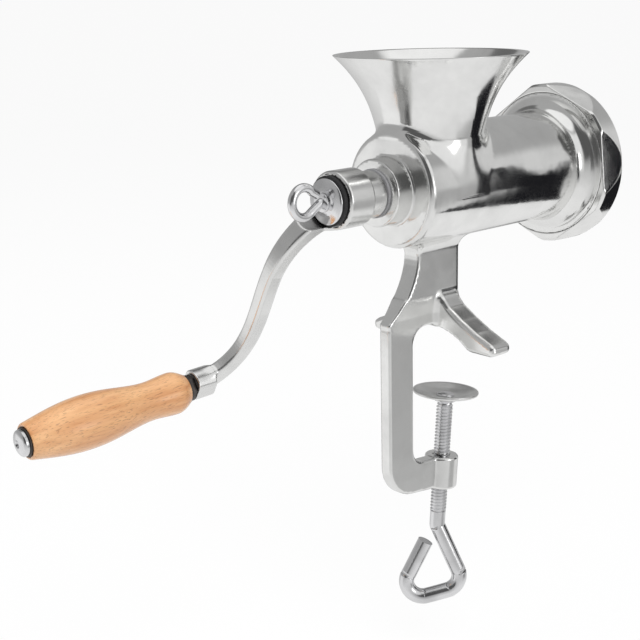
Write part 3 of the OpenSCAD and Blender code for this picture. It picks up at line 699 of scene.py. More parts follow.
def body_distance(x, y, z):
    """The cast body: barrel, bell and hopper, with the frame that clamps it to a table."""
    along, up = x - HOPPER_X, z - AXIS_H
    r = np.hypot(y, up)
    barrel = bar(r, along, BARREL_R, BARREL_X0, BELL_X0 + 0.1, edge=3.0)
    barrel = join(barrel, bar(r, along, BELL_R, BELL_X0, BELL_X1, edge=0.7), BELL_FILLET)
    collar = bar(r, along, COLLAR_R, COLLAR_X0, -30.0, edge=0.8)
    barrel = join(barrel, collar, COLLAR_FILLET)
    around = np.hypot(along, y)
    # Just below the turned flare the wall is thinned by a hair, so that the flare covers it
    slim = 0.03 * np.clip((up - FLARE_Z + 6) / 6, 0, 1)
    hopper = np.maximum(hopper_side(around, up, slim), up - FLARE_Z - 1)
    hopper = np.maximum(hopper, -up)
    top = join(barrel, hopper, HOPPER_FILLET)

    side = join(outline(x, z, NECK), outline(x, z, SPINE), 4.0)
    half = 4.2 + 1.8 * np.clip((z - 20.0) / 12.0, 0, 1)
    web = meet(side, np.abs(y) - half, 1.6)
    feet = meet(outline(y, z, FEET), np.abs(x) - 8.0, 2.8)
    feet = meet(feet, ARCH_R - np.hypot(y, z - ARCH_H + ARCH_R), 1.0)
    web = join(web, feet, FEET_FILLET)
    across, along_screw = turned(x - SCREW_X, z - JAW_Z, math.radians(LEAN))
    across = np.hypot(across, y)
    web = join(web, bar(across, along_screw, BOSS_R, -BOSS_H, 0.0, edge=1.4), 0.8)
    whole = join(top, web, NECK_FILLET)

    cone = np.maximum((r - ROOM_R - (along - ROOM_X0)) * 0.7071, along - ROOM_X0 - 0.1)
    inside = reduce(np.minimum, (
        bar(r, along, BUSH_R + 0.02, -60.0, BORE_X0 + 1),
        bar(r, along, BORE_R, BORE_X0, 108.0),
        np.maximum(cone, ROOM_X0 - 6 - along),
        bar(r, along, ROOM_R, ROOM_X0, 112.0),
        bar(r, along, SEAT_R, PLATE_X0 - 0.02, 130.0),
        np.maximum(np.hypot(y, up + SEAT_R) - 2.02, 103.9 - along),  # the key's groove
    ))
    whole = meet(whole, -inside, 0.35)
    funnel = np.maximum(hopper_side(around, up, HOPPER_WALL - slim), -up)
    whole = meet(whole, -funnel, 0.35)
    hole = np.maximum(across - BOSS_BORE_R, np.abs(along_screw + 12) - 30.0)
    return meet(whole, -hole, 0.4)


BODY_GRID = (
    ticks(-64.0, (-56, 1.4), (-50, 1.1), (12, 1.35), (48, 1.7), (84, 2.6), (106, 1.05)),
    ticks(-56.0, (-36, 1.6), (-12, 1.5), (12, 1.15), (36, 1.5), (56, 1.6)),
    ticks(-94.0, (-68, 1.15), (-2, 2.2), (30, 1.15), (62, 1.4), (134, 1.4), (142, 1.0)),
)


# ---- crank arm

HUB_R, SLEEVE_R, HUB_RECESS_R, DRIVE_HALF = 15.7, 12.8, 13.9, 6.06
BLOCK_R, BLOCK_HALF, BLOCK_RISE = 8.5, 7.25, 1.6
# The arm's thickness in the middle, and how much thicker it is at both ends
ARM_T, ARM_SWELL = 10.0, 3.0


def bezier(p, t):
    """A point of a cubic curve through four control points."""
    a, b, c, d = (np.array(q) for q in p)
    return a * (1 - t) ** 3 + 3 * b * t * (1 - t) ** 2 + 3 * c * t * t * (1 - t) + d * t ** 3


def arm_path():
    """Middle line of the S-shaped arm from the hub to the end block, as (x, outward)."""
    bow, knee = HUB_X0 - 21.2, 46.0
    end = ((BLOCK_X0 + BLOCK_X1) / 2, CRANK_R - BLOCK_RISE)
    upper = [(HUB_X0 + 4, 6), (HUB_X0 - 12, 14), (bow, 26), (bow, knee)]
    lower = [(bow, knee), (bow, knee + 29), (bow + 14.5, CRANK_R - 15), end]
    return [bezier(upper, i / 26) for i in range(27)] + [
        bezier(lower, i / 34) for i in range(1, 35)
    ]


ARM_PATH = arm_path()


def arm_side(x, q):
    """Distance to the swept arm in its own plane."""
    best, n = np.inf, len(ARM_PATH) - 1
    for i in range(n):
        t, off = nearest(x, q, ARM_PATH[i], ARM_PATH[i + 1])
        thick = ARM_T + ARM_SWELL * (2 * (i + t) / n - 1) ** 4
        best = np.minimum(best, off - thick / 2)
    return best


def crank_distance(x, y, z):
    """The crank arm in its own plane: hub, bowed arm, and the end block on the grip's bolt."""
    r = np.hypot(y, z)
    hub = bar(r, x, HUB_R, HUB_X0, HUB_MID, edge=1.6)
    hub = join(hub, bar(r, x, SLEEVE_R, HUB_MID - 4, HUB_X1, edge=1.0), 1.4)
    q = -z
    half = np.interp(q, [12.0, 46.0, 136.5], [6.0, 4.2, 3.6])
    arm = meet(arm_side(x, q), np.abs(y) - half, 2.0)
    whole = join(hub, arm, 4.0)
    gx, gz = turned(x - BLOCK_X0, z + CRANK_R, math.radians(-GRIP_TILT))
    block = bar(np.hypot(y, gz - BLOCK_RISE), gx, BLOCK_R, 0.0, BLOCK_X1 - BLOCK_X0, edge=1.0)
    block = meet(block, np.abs(y) - BLOCK_HALF, 0.8)
    whole = meet(join(whole, block, 2.2), -gx, 0.7)
    wy, wz = turned(y, z, math.radians(CRANK_REST))
    socket = np.maximum(box2(wy, wz, DRIVE_HALF, DRIVE_HALF), DRIVE_X0 - 0.4 - x)
    cut = np.minimum(socket, np.maximum(r - 4.4, x - DRIVE_X0 - 1))
    whole = meet(whole, -cut, 0.3)
    whole = meet(whole, -np.maximum(r - HUB_RECESS_R, x - HUB_X0), 0.6)
    bolt = np.maximum(np.hypot(y, gz) - 3.02, gx - 9.5)
    return meet(whole, -bolt, 0.3)


CRANK_GRID = (
    ticks(-127.0, (-44, 0.8)),
    ticks(-18.0, (18, 0.8)),
    ticks(-137.0, (18, 0.8)),
)


# ---- ring nut

def inset(points, depth):
    """Moves a profile's sides inward, so that a rounded distance keeps its outer size."""
    n = len(points)
    area = sum(points[i - 1][0] * y - x * points[i - 1][1] for i, (x, y) in enumerate(points))
    sign, out = (1 if area > 0 else -1), []
    for i in range(n):
        a, b, c = (Vector(points[(i + k) % n]) for k in (-1, 0, 1))
        d0, d1 = (b - a).normalized(), (c - b).normalized()
        n0, n1 = Vector((-d0.y, d0.x)) * sign, Vector((-d1.y, d1.x)) * sign
        out.append(tuple(b + (n0 + n1) * depth / (1 + n0.dot(n1))))
    return out


RING_BORE, RING_MOUTH, RING_EDGE = 43.06, 32.8, 0.35
RING_FLATS, FIRST_FLAT = 6, 24
FLAT_TILT = math.atan(3.9 / 13.3)
RING_PROFILE = [
    (RING_BORE, RING_X0), (RING_R - 1.3, RING_X0), (RING_R, RING_X0 + 1.3),
    (RING_R, RING_X1 - 0.8), (RING_R - 0.8, RING_X1), (RING_MOUTH + 2, RING_X1),
    (RING_MOUTH, RING_X1 - 2), (RING_MOUTH, RING_X1 - 4.4), (RING_BORE, RING_X1 - 4.4),
]
RING_CORE = inset(RING_PROFILE, RING_EDGE)


def ring_distance(x, y, z):
    """The ring nut: a coned rim with six tilted flats."""
    whole = outline(np.hypot(y, z), x, RING_CORE) - RING_EDGE
    for k in range(RING_FLATS):
        up = turned(z, y, math.radians(360 / RING_FLATS * k + FIRST_FLAT))[0]
        whole = meet(whole, turned(up - RING_R, x - RING_X1, FLAT_TILT)[0], 0.5)
    return whole


RING_GRID = (
    ticks(31.0, (35, 0.45), (42, 0.9), (49.5, 0.5)),
    np.linspace(0, 2 * math.pi, 289),
    ticks(100.0, (102.5, 0.4), (110, 0.75), (117.2, 0.45)),
)


# ---- what repeats or follows a path

def tree_of(name, floats, integers=()):
    """A geometry tree with named inputs: the tree, its inputs and their identifiers."""
    group = bpy.data.node_groups.new(name, "GeometryNodeTree")
    face = group.interface
    face.new_socket("Geometry", in_out="OUTPUT", socket_type="NodeSocketGeometry")
    kinds = {
        "Geometry": "Geometry", **dict.fromkeys(floats, "Float"),
        **dict.fromkeys(integers, "Int"), "Material": "Material",
    }
    keys = {
        label: face.new_socket(label, in_out="INPUT", socket_type="NodeSocket" + kind).identifier
        for label, kind in kinds.items()
    }
    tree = Tree(group)
    source = group.nodes.new("NodeGroupInput")
    return tree, {s.name: Value(tree, s) for s in source.outputs if s.name}, keys


def ended(built, shape):
    """Ends a tree with its instances made real, in its material."""
    tree, v, _ = built
    shape = tree.node("GeometryNodeRealizeInstances", {0: shape})
    shape = tree.node("GeometryNodeSetMaterial", {"Geometry": shape, "Material": v["Material"]})
    tree.node("NodeGroupOutput", {0: shape})
    return built


def grown(name, built, place, finish, settings, mesh=None, reach=WELD):
    """Runs a geometry tree with its inputs set, and keeps the plain result in its place."""
    tree, _, keys = built
    piece = linked(name, mesh or bpy.data.meshes.new(name))
    run = piece.modifiers.new("Shape", "NODES")
    run.node_group = tree.tree
    for label, value in {**settings, "Material": FINISHES[finish]}.items():
        run[keys[label]] = value
    applied(piece)
    piece.data.transform(IN_MM @ place)
    tidy(piece.data, reach)
    return piece


@cache
def ridged_shank():
    """A shank with a helical ridge: its rows of points follow the helix."""
    built = tree_of("Ridged shank", (
        "Length", "Outer radius", "Root radius", "Pitch", "Crest", "Flank", "Fade",
    ), ("Rows",))
    tree, v, _ = built
    rows, steps, row_kinds = v["Rows"], 48, 4.0
    grid = tree.node("GeometryNodeMeshGrid", {
        "Size X": 1.0, "Size Y": 1.0, "Vertices X": steps + 1, "Vertices Y": rows,
    })
    # Columns go round the shank, and each turn has a row at every edge of the ridge.
    # Whole numbers are taken a little above, so that rounding can't drop one.
    index = tree.node("GeometryNodeInputIndex")
    column = (index / rows + 0.0001).math("FLOOR")
    row = index - column * rows
    turn = (row / row_kinds + 0.01).math("FLOOR")
    part = row - turn * row_kinds
    share = column / float(steps)
    offset = (part > 0.5) * v["Flank"] + (part > 1.5) * v["Crest"] + (part > 2.5) * v["Flank"]
    raised = (part > 0.5) * (part < 2.5)
    free = v["Pitch"] * (turn - 1.0 + share) + offset
    x = free.math("MAXIMUM", 0.0).math("MINIMUM", v["Length"])
    fade = (x.math("MINIMUM", v["Length"] - x) / v["Fade"]).math("MINIMUM", 1.0)
    radius = v["Root radius"] + (v["Outer radius"] - v["Root radius"]) * raised * fade
    angle = share * (2 * math.pi)
    place = tree.vector(X=x, Y=radius * angle.math("COSINE"), Z=radius * angle.math("SINE"))
    shape = tree.node("GeometryNodeSetPosition", {"Geometry": grid, "Position": place})
    shape = tree.node("GeometryNodeMergeByDistance", {"Geometry": shape, "Distance": 0.002})
    return ended(built, shape)


@cache
def bent_rod():
    """A round rod along a chain of points."""
    built = tree_of("Bent rod", ("Radius",), ("Sides",))
    tree, v, _ = built
    curve = tree.node("GeometryNodeMeshToCurve", {0: v["Geometry"]})
    ring = tree.node("GeometryNodeCurvePrimitiveCircle", {
        "Resolution": v["Sides"], "Radius": v["Radius"],
    })
    return ended(built, tree.node("GeometryNodeCurveToMesh", {
        "Curve": curve, "Profile Curve": ring, "Fill Caps": True,
    }))


@cache
def holed_disc():
    """A disc with a triangular grid of holes inside a ring, clear of its bore and key."""
    built = tree_of("Holed disc", (
        "Radius", "Thickness", "Hole", "Spacing", "Bore", "Reach", "Clear", "Key place",
        "Key radius", "Key reach",
    ))
    tree, v, _ = built
    through = v["Thickness"] * 3.0

    def drum(sides, radius, depth):
        return tree.node("GeometryNodeMeshCylinder", {
            "Vertices": sides, "Radius": radius, "Depth": depth,
        })

    count = 15
    grid = tree.node("GeometryNodeMeshGrid", {
        "Size X": count - 1.0, "Size Y": count - 1.0, "Vertices X": count, "Vertices Y": count,
    })
    # The place of a point in the grid and, read again after the move, in the disc
    y, z, _ = tree.parts(tree.node("GeometryNodeInputPosition"))
    moved = tree.node("GeometryNodeSetPosition", {"Geometry": grid, "Position": tree.vector(
        X=v["Spacing"] * (y + z * 0.5), Y=v["Spacing"] * z * math.sin(math.radians(60)),
    )})
    out = (y * y + z * z).math("SQRT")
    lift = z + v["Key place"]
    key = (y * y + lift * lift).math("SQRT")
    keep = (out < v["Reach"]) * (out > v["Clear"]) * (key > v["Key reach"])
    points = tree.node("GeometryNodeMeshToPoints", {"Mesh": moved, "Selection": keep > 0.5})
    drills = tree.node("GeometryNodeInstanceOnPoints", {
        "Points": points, "Instance": drum(28, v["Hole"], through),
    })
    bore = drum(64, v["Bore"], through)
    notch = tree.node("GeometryNodeTransform", {
        "Geometry": drum(32, v["Key radius"], through),
        "Translation": tree.vector(Y=v["Key place"] * -1.0),
    })
    cutters = tree.tree.nodes.new("GeometryNodeJoinGeometry")
    for cutter in (drills, bore, notch):
        tree.tree.links.new(cutters.inputs[0], cutter.socket)
    cutters = tree.node("GeometryNodeRealizeInstances", {0: Value(tree, cutters.outputs[0])})
    disc = drum(128, v["Radius"], v["Thickness"])
    return ended(built, tree.node("GeometryNodeMeshBoolean", {
        "Mesh 1": disc, "Mesh 2": cutters, "Self Intersection": True,
    }, operation="DIFFERENCE", solver="EXACT"))


def thread(name, place, finish, length, outer, root, pitch, crest, flank, fade=1.0):
    """A threaded shank; its ridge fades out over so many pitches at both ends."""
    return grown(name, ridged_shank(), place, finish, {
        "Length": length, "Outer radius": outer, "Root radius": root, "Pitch": pitch,
        "Crest": crest, "Flank": flank, "Fade": fade * pitch,
        "Rows": 4 * (math.ceil(length / pitch) + 2),
    })


def rod(name, place, finish, path, radius, sides=24):
    """A round rod along a path of (x, z)."""
    chain = smooth_chain(path)
    mesh = bpy.data.meshes.new(name)
    mesh.from_pydata(chain, [(i, i + 1) for i in range(len(chain) - 1)], [])
    settings = {"Radius": radius, "Sides": sides}
    return grown(name, bent_rod(), place, finish, settings, mesh)


def smooth_chain(path, between=4):
    """A Catmull-Rom curve through the points."""
    pts = [Vector((x, 0, z)) for x, z in path]
    out = []
    for i in range(len(pts) - 1):
        a, b = pts[max(i - 1, 0)], pts[i]
        c, d = pts[i + 1], pts[min(i + 2, len(pts) - 1)]
        for k in range(between):
            t = k / between
            out.append(0.5 * (
                2 * b + (c - a) * t + (2 * a - 5 * b + 4 * c - d) * t * t
                + (3 * b - a - 3 * c + d) * t ** 3
            ))
    return [tuple(p) for p in out + [pts[-1]]]


# ---- settings a user would change

class GrinderSizes(PropertyGroup):
    thread_depth: FloatProperty(
        name="Thread depth", description="Depth of the clamp screw's thread",
        default=0.95 * MM, min=0.3 * MM, max=1.5 * MM, unit="LENGTH", precision=5,
    )
    thread_pitch: FloatProperty(
        name="Thread pitch", description="Pitch of the clamp screw's thread",
        default=2.0 * MM, min=1.0 * MM, max=4.0 * MM, unit="LENGTH", precision=5,
    )
    edge_break: FloatProperty(
        name="Edge break", description="Width of the broken edges of machined pieces",
        default=0.3 * MM, min=0.05 * MM, max=0.8 * MM, unit="LENGTH", precision=5,
    )
    grip_sides: IntProperty(
        name="Grip sides", description="Faces round the turned grip", default=128, min=32, max=256,
    )


class GrinderLook(PropertyGroup):
    aluminium: FloatVectorProperty(
        name="Aluminium", description="Colour of the polished castings",
        default=(0.88, 0.88, 0.87), subtype="COLOR", size=3, min=0, max=1,
    )
    wood_light: FloatVectorProperty(
        name="Light wood", description="Light grain of the beech grip",
        default=(0.88, 0.51, 0.245), subtype="COLOR", size=3, min=0, max=1,
    )
    wood_dark: FloatVectorProperty(
        name="Dark wood", description="Dark grain of the beech grip",
        default=(0.60, 0.25, 0.085), subtype="COLOR", size=3, min=0, max=1,
    )


# ---- operators

# The bore of what sits on a 6 mm bolt or pin, a washer's thickness, and the gap that
# is left between pieces that touch
BOLT_BORE, WASHER_T, GAP = 3.06, 1.6, 0.02
# The plate's holes, its bore and the notch for its key
HOLE_R, HOLE_SPACING, PLATE_BORE, PLAIN_RIM, PLAIN_MIDDLE = 3.0, 8.0, 5.05, 2.2, 4.0
KEY_R, KEY_CLEAR = 2.2, 7.0


def machined(context, node, share=1.0):
    """A machined piece; its edges are broken by a share of the edge break."""
    edge = context.scene.grinder_sizes.edge_break / MM
    dress(bevelled(node, share * edge), node)


def lathed(node, way, profile, place, radius=0.3, finish=None):
    """A piece of one turned shape, named after its node and the way it is made."""
    dress(lathe(f"{node}_{way}", profile, place, radius), node, finish=finish)


class GRINDER_OT_finishes(Operator):
    """Make the finishes of every piece"""

    bl_idname = "grinder.finishes"
    bl_label = "Finishes"

    def execute(self, context):
        make_finishes(context.scene.grinder_look)
        return {"FINISHED"}


class GRINDER_OT_body(Operator):
    """Cast the body with its hopper, barrel and clamp frame"""

    bl_idname = "grinder.body"
    bl_label = "Cast body"

    def execute(self, context):
        casting = skin("body_core", body_distance, BODY_GRID)
        dress(joined("body_casting", [casting, flare()]), "cast_body")
        return {"FINISHED"}


class GRINDER_OT_outlet(Operator):
    """Make the ring nut, the hole plate and its key pin"""

    bl_idname = "grinder.outlet"
    bl_label = "Ring nut and plate"

    def execute(self, context):
        dress(skin("ring_nut_casting", ring_distance, RING_GRID, ON_AXIS, polar), "ring_nut")
        upright = Matrix(((0, 0, 1, 0), (1, 0, 0, 0), (0, 1, 0, 0), (0, 0, 0, 1)))
        middle = Matrix.Translation((PLATE_X0 + PLATE_T / 2, 0, 0))
        place = ON_AXIS @ middle @ upright
        plate = grown("hole_plate_ground", holed_disc(), place, "plate_steel", {
            "Radius": PLATE_R, "Thickness": PLATE_T, "Hole": HOLE_R, "Spacing": HOLE_SPACING,
            "Bore": PLATE_BORE, "Reach": PLATE_R - PLAIN_RIM - HOLE_R,
            "Clear": PLATE_BORE + PLAIN_MIDDLE, "Key place": SEAT_R, "Key radius": KEY_R,
            "Key reach": KEY_CLEAR,
        }, reach=0.5 * WELD)
        smooth_past(plate.data, 30)
        dress(plate, "hole_plate")
        machined(context, "plate_key_pin")
        return {"FINISHED"}


class GRINDER_OT_drive(Operator):
    """Make the worm, the knife, the spindle, the thrust washer and the rear bush"""

    bl_idname = "grinder.drive"
    bl_label = "Worm and knife"

    def execute(self, context):
        machined(context, "worm", 0.5)
        machined(context, "cutting_knife")
        machined(context, "knife_spindle")
        inner = JOURNAL_R + 0.06
        washer = tube(inner, 14, BORE_X0 + GAP, BORE_X0 + GAP + WASHER_T)
        lathed("thrust_washer", "turned", washer, ON_AXIS)
        flange_r, flange_x1 = 13.4, BUSH_X0 + 1.3
        bush = [
            (inner, BUSH_X0), (flange_r, BUSH_X0), (flange_r, flange_x1), (BUSH_R, flange_x1),
            (BUSH_R, BORE_X0), (inner, BORE_X0),
        ]
        lathed("rear_bush", "turned", bush, ON_AXIS)
        return {"FINISHED"}


class GRINDER_OT_crank(Operator):
    """Cast the crank arm"""

    bl_idname = "grinder.crank"
    bl_label = "Crank arm"

    def execute(self, context):
        dress(skin("crank_casting", crank_distance, CRANK_GRID, ON_CRANK), "crank_arm")
        return {"FINISHED"}


class GRINDER_OT_eye_bolt(Operator):
    """Make the eye bolt, its cup washer and the rubber seal"""

    bl_idname = "grinder.eye_bolt"
    bl_label = "Eye bolt"

    def execute(self, context):
        seal_x1 = HUB_X0 - GAP
        seal_x0 = seal_x1 - 2.6
        lathed("hub_seal", "moulded", tube(4.4, 13.5, seal_x0, seal_x1), ON_AXIS, 0.8)
        cup_x1, cup_x0, cup_bore, cup_r = seal_x0 - GAP, -81.96, 4.06, 12.3
        cup = [
            (cup_bore, cup_x1), (cup_r, cup_x1), (cup_r, -79.9), (11.3, -80.36), (9.8, -80.9),
            (7.6, -81.6), (5.6, -81.94), (cup_bore, cup_x0),
        ]
        lathed("cup_washer", "pressed", cup, ON_AXIS, 0.35)
        collar_x1 = cup_x0 - GAP
        collar_x0 = collar_x1 - 1.4
        tip, overlap = DRIVE_X0 + 16.0, 0.3
        start = ON_AXIS @ Matrix.Translation((collar_x1 - overlap, 0, 0))
        shank = thread(
            "bolt_thread", start, "plated_steel", length=tip - collar_x1 + overlap, outer=4.0,
            root=3.35, pitch=1.25, crest=0.2, flank=0.4,
        )
        collar = lathe("bolt_collar", tube(0, 5.2, collar_x0, collar_x1), ON_AXIS, 0.35)
        eye_x, eye_rise, eye_r, wire_r = collar_x0 - 12.0, 1.6, 7.7, 2.4
        path = [(collar_x1 - 0.2, 0), (collar_x0 - 0.5, -0.2)]
        path += arc((eye_x, eye_rise), eye_r, -48, -322, 24)
        path += [(collar_x0 - 2.8, eye_rise + 3)]
        eye = rod("bolt_eye", ON_AXIS, "plated_steel", path, wire_r)
        dress(joined("eye_bolt_bent", [shank, collar, eye]), "eye_bolt")
        return {"FINISHED"}


def ease(s):
    """A smooth step from 0 to 1."""
    return s * s * (3 - 2 * s)


def grip_radius(t):
    """Radius of the turned grip, from its outer end at 0 to the arm at 1."""
    if t < 0.36:
        return 9.75 + 4.85 * math.sin(math.pi / 2 * t / 0.36) ** 1.05
    if t < 0.76:
        return 14.6 - 3.9 * ease(((t - 0.36) / 0.4) ** 1.15)
    if t < 0.92:
        return 10.7 + 1.1 * ease((t - 0.76) / 0.16)
    return 11.8 - 3 * (1 - math.cos(math.pi / 2 * (t - 0.92) / 0.08))


class GRINDER_OT_grip(Operator):
    """Turn the wooden grip and make its bolt, nut and washers"""

    bl_idname = "grinder.grip"
    bl_label = "Grip"

    def execute(self, context):
        n, step, pocket_r = 90, 0.6, 8.4
        outside = [(grip_radius(i / n), GRIP_X0 + GRIP_L * i / n) for i in range(n + 1)]
        end_r = outside[0][0]
        outside[:1] = [(end_r - step, GRIP_X0), (end_r, GRIP_X0 + step)]
        floor = GRIP_X0 + step
        bore = [(BOLT_BORE, GRIP_X1), (BOLT_BORE, floor), (pocket_r, floor), (pocket_r, GRIP_X0)]
        sides = context.scene.grinder_sizes.grip_sides
        dress(lathe("grip_turned", outside + bore, ON_GRIP, 0, sides, 40), "grip")
        nut_t = 3.0
        outer, inner = floor - GAP - WASHER_T, -GAP - nut_t - GAP - WASHER_T
        base, tip, bolt_r, head_r = outer - GAP, 9.1, 3.0, 7.2
        dome = [
            (head_r * math.cos(a), base - 1.5 - 2.3 * math.sin(a))
            for a in (math.radians(7 * i) for i in range(11))
        ]
        socket = [(2.1, base - 3.85), (1.7, base - 2.8), (0.9, base - 2.3), (0, base - 2.3)]
        head = [(0, tip), (bolt_r, tip), (bolt_r, base), (head_r, base)] + dome + socket
        lathed("grip_bolt", "head", head, ON_GRIP, 0.25)
        for name, at in (("grip_outer_washer", outer), ("grip_inner_washer", inner)):
            lathed(name, "turned", tube(BOLT_BORE, 8.0, at, at + WASHER_T), ON_GRIP)
        machined(context, "grip_lock_nut", 1.2)
        return {"FINISHED"}


SCREW_R, LOOP_WIRE_R, LOOP_TURN = 4.85, 4.69, -42


def loop_points():
    """Middle line of the loop below the screw, as (across, up) from the screw's end."""
    straight, neck, lean, sag = 5.0, 5.0, 33.0, 4.0
    right, left = (5.5, -40.0), (-6.5, -44.0)
    turn = math.degrees(math.atan(sag / 12.0)) - 90
    return (
        [(0, 2), (0, -straight)]
        + arc((neck, -straight - 1), neck, 190, 180 + lean, 2)
        + arc(right, 10, lean, turn, 8)
        + arc(left, 10, turn, -180 - lean, 10)
        + [(-6.4, -18)]
    )


class GRINDER_OT_clamp(Operator):
    """Make the clamp screw with its loop, the dished pad and its washer"""

    bl_idname = "grinder.clamp"
    bl_label = "Clamp"

    def execute(self, context):
        sizes = context.scene.grinder_sizes
        pitch, depth = sizes.thread_pitch / MM, sizes.thread_depth / MM
        end = Matrix.Translation((0, 0, NECK_END))
        shank = thread(
            "screw_thread", ON_SCREW @ end @ X_UP, "screw_steel", length=SCREW_TOP - NECK_END,
            outer=SCREW_R, root=SCREW_R - depth, pitch=pitch, crest=0.3 * pitch,
            flank=0.25 * pitch, fade=1.5,
        )
        start = ON_SCREW @ turned_by(LOOP_TURN, "Z") @ end
        loop = rod("screw_loop", start, "screw_steel", loop_points(), LOOP_WIRE_R, 32)
        up = ON_SCREW @ X_UP
        pad_top = PAD_Z + 1.8
        top, pin_r, rivet_r = pad_top + GAP, 3.0, 5.5
        dome = [
            (rivet_r * math.cos(a), top + 0.35 + 1.45 * math.sin(a)) for a in (0, 0.4, 0.8, 1.2)
        ]
        pin = [(0, SCREW_TOP - 0.5), (pin_r, SCREW_TOP - 0.5), (pin_r, top), (rivet_r, top)]
        rivet = lathe("screw_rivet", pin + dome + [(0, top + 1.8)], up, 0.15)
        dress(joined("clamp_screw_bent", [shank, loop, rivet]), "clamp_screw")
        pad = [
            (BOLT_BORE, PAD_Z), (7.0, PAD_Z), (12.0, PAD_Z + 0.9), (19.5, PAD_UP - 1.8),
            (19.5, PAD_UP), (17.5, PAD_UP), (12.4, PAD_Z + 2.9), (8.0, pad_top),
            (BOLT_BORE, pad_top),
        ]
        lathed("pressure_pad", "pressed", pad, up, 0.8, "satin_plate")
        low = SCREW_TOP + GAP
        lathed("pad_washer", "turned", tube(BOLT_BORE, 6.35, low, low + WASHER_T), up)
        return {"FINISHED"}


# ---- stage

CENTRE = Vector((-0.01, 0, 0.07))
# How far the clamp screw can be wound down from rest, which the floor leaves room for
SCREW_DROP = 34.0
# How far the floor goes, in metres, its grey as it lights the part, and how white it is
# seen; the strength of the world's light on the part
FLOOR_REACH, FLOOR_GREY, FLOOR_WHITE, WORLD_LIGHT = 90.0, 0.92, 0.9, 0.55
# Each lamp is an azimuth, an elevation, a size in metres and a power in watts
LAMPS = {
    "key": (-150, 48, 0.9, 13.0),
    "fill": (-60, 30, 1.2, 6.0),
    "back": (40, 55, 1.0, 6.0),
}
LAMP_AWAY = 1.6
# The camera's lens and place, and its azimuth, fall and roll
LENS, CAMERA_AT, CAMERA_TURN = 69.92, (-0.51958, -0.47186, 0.20249), (42.062, 15.088, -1.364)
# What polished metal mirrors is a pale table and a dimmer room, with flags and soft boxes.
# Each is an azimuth, an elevation, half its width and height in degrees, its soft edge
# and its grey.
TABLE, ROOM = 0.85, 0.40
FLAGS = {
    "front_flag": (66, -12, 8, 11, 4, 0.10),
    "corner_flag": (26, 35, 20, 9, 6, 0.15),
    "rear_board": (112, 8, 22, 14, 10, 0.65),
    "left_box": (-47, -21, 20, 12, 8, 0.90),
    "right_board": (147, -15, 14, 9, 8, 0.40),
    "back_flag": (-140, 30, 14, 22, 9, 0.10),
    "left_flag": (-106, 16, 13, 20, 8, 0.10),
    "right_box": (168, 22, 20, 26, 10, 0.85),
    "top_box": (138, 76, 50, 14, 8, 0.95),
    "strip_light": (168, 6, 5, 9, 4, 3.0),
}
# Two dark cards stand close to the outlet: the point they face, their azimuth and distance,
# and their corners across and above the barrel's axis
CARDS = {
    "dark_card": (
        (72, -25), 118, 300, ((-115, -254), (82, -254), (80, -60), (50, 36), (-115, 36)),
    ),
    "ring_card": (
        (107, -42), 155, 90, ((-16, -52), (24, -52), (24, 44), (4, 44), (-16, -24)),
    ),
}


def toward(azimuth, elevation):
    """Unit vector; azimuth runs from +Y to +X."""
    a, e = math.radians(azimuth), math.radians(elevation)
    return Vector((math.sin(a) * math.cos(e), math.cos(a) * math.cos(e), math.sin(e)))


def studio(azimuth, elevation):
    """Grey of the studio in one direction."""
    grey = float(np.interp(elevation, (-38, 8), (TABLE, ROOM)))
    for at, height, wide, high, edge, shade in FLAGS.values():
        turn = (azimuth - at + 180) % 360 - 180
        turn *= math.cos(math.radians(elevation))
        past = max(abs(turn) - wide, abs(elevation - height) - high, 0)
        share = ease(max(0.0, 1 - past / edge))
        grey = grey * (1 - share) + shade * share
    return grey


def seen_plainly(tree):
    """1 for the camera's rays and for mirrored and refracted ones, and 0 for the others."""
    path = tree.node("ShaderNodeLightPath").socket.node
    direct, mirrored, refracted = (
        Value(tree, path.outputs[f"Is {ray} Ray"]) for ray in ("Camera", "Glossy", "Transmission")
    )
    return direct.math("MAXIMUM", mirrored).math("MAXIMUM", refracted)


def glow(name, colour):
    """A material that gives off its colour and takes no light."""

    def shader(tree):
        return tree.node("ShaderNodeEmission", {"Color": colour(tree), "Strength": 1.0})

    return material_of(name, shader)


def pale_floor(tree):
    """Shader of a floor that is lit like any other, and seen nearly white."""
    plain = tree.node("ShaderNodeBsdfDiffuse", {"Color": rgba([FLOOR_GREY] * 3)})
    white = tree.node("ShaderNodeEmission", {"Color": (1, 1, 1, 1), "Strength": 1.0})
    share = seen_plainly(tree) * FLOOR_WHITE
    return tree.node("ShaderNodeMixShader", {0: share, 1: plain, 2: white})


def white_world():
    """A world that is seen white, and lights the part more softly."""
    world = bpy.data.worlds.new("studio")
    tree = cleared(world)
    soft, white = (
        tree.node("ShaderNodeBackground", {"Color": (1, 1, 1, 1), "Strength": strength})
        for strength in (WORLD_LIGHT, 1.0)
    )
    shader = tree.node("ShaderNodeMixShader", {0: seen_plainly(tree), 1: soft, 2: white})
    tree.node("ShaderNodeOutputWorld", {"Surface": shader})
    return world


def sheet(name, points, faces, material, mirrored=True):
    """Part of the stage: it is seen only in mirrors, or never in them."""
    mesh = bpy.data.meshes.new(name)
    mesh.from_pydata([tuple(p) for p in points], [], faces)
    mesh.materials.append(material)
    piece = linked(name, mesh)
    piece.visible_glossy = mirrored
    if mirrored:
        piece.visible_camera = piece.visible_diffuse = piece.visible_shadow = False
        piece.visible_transmission = False
    return piece


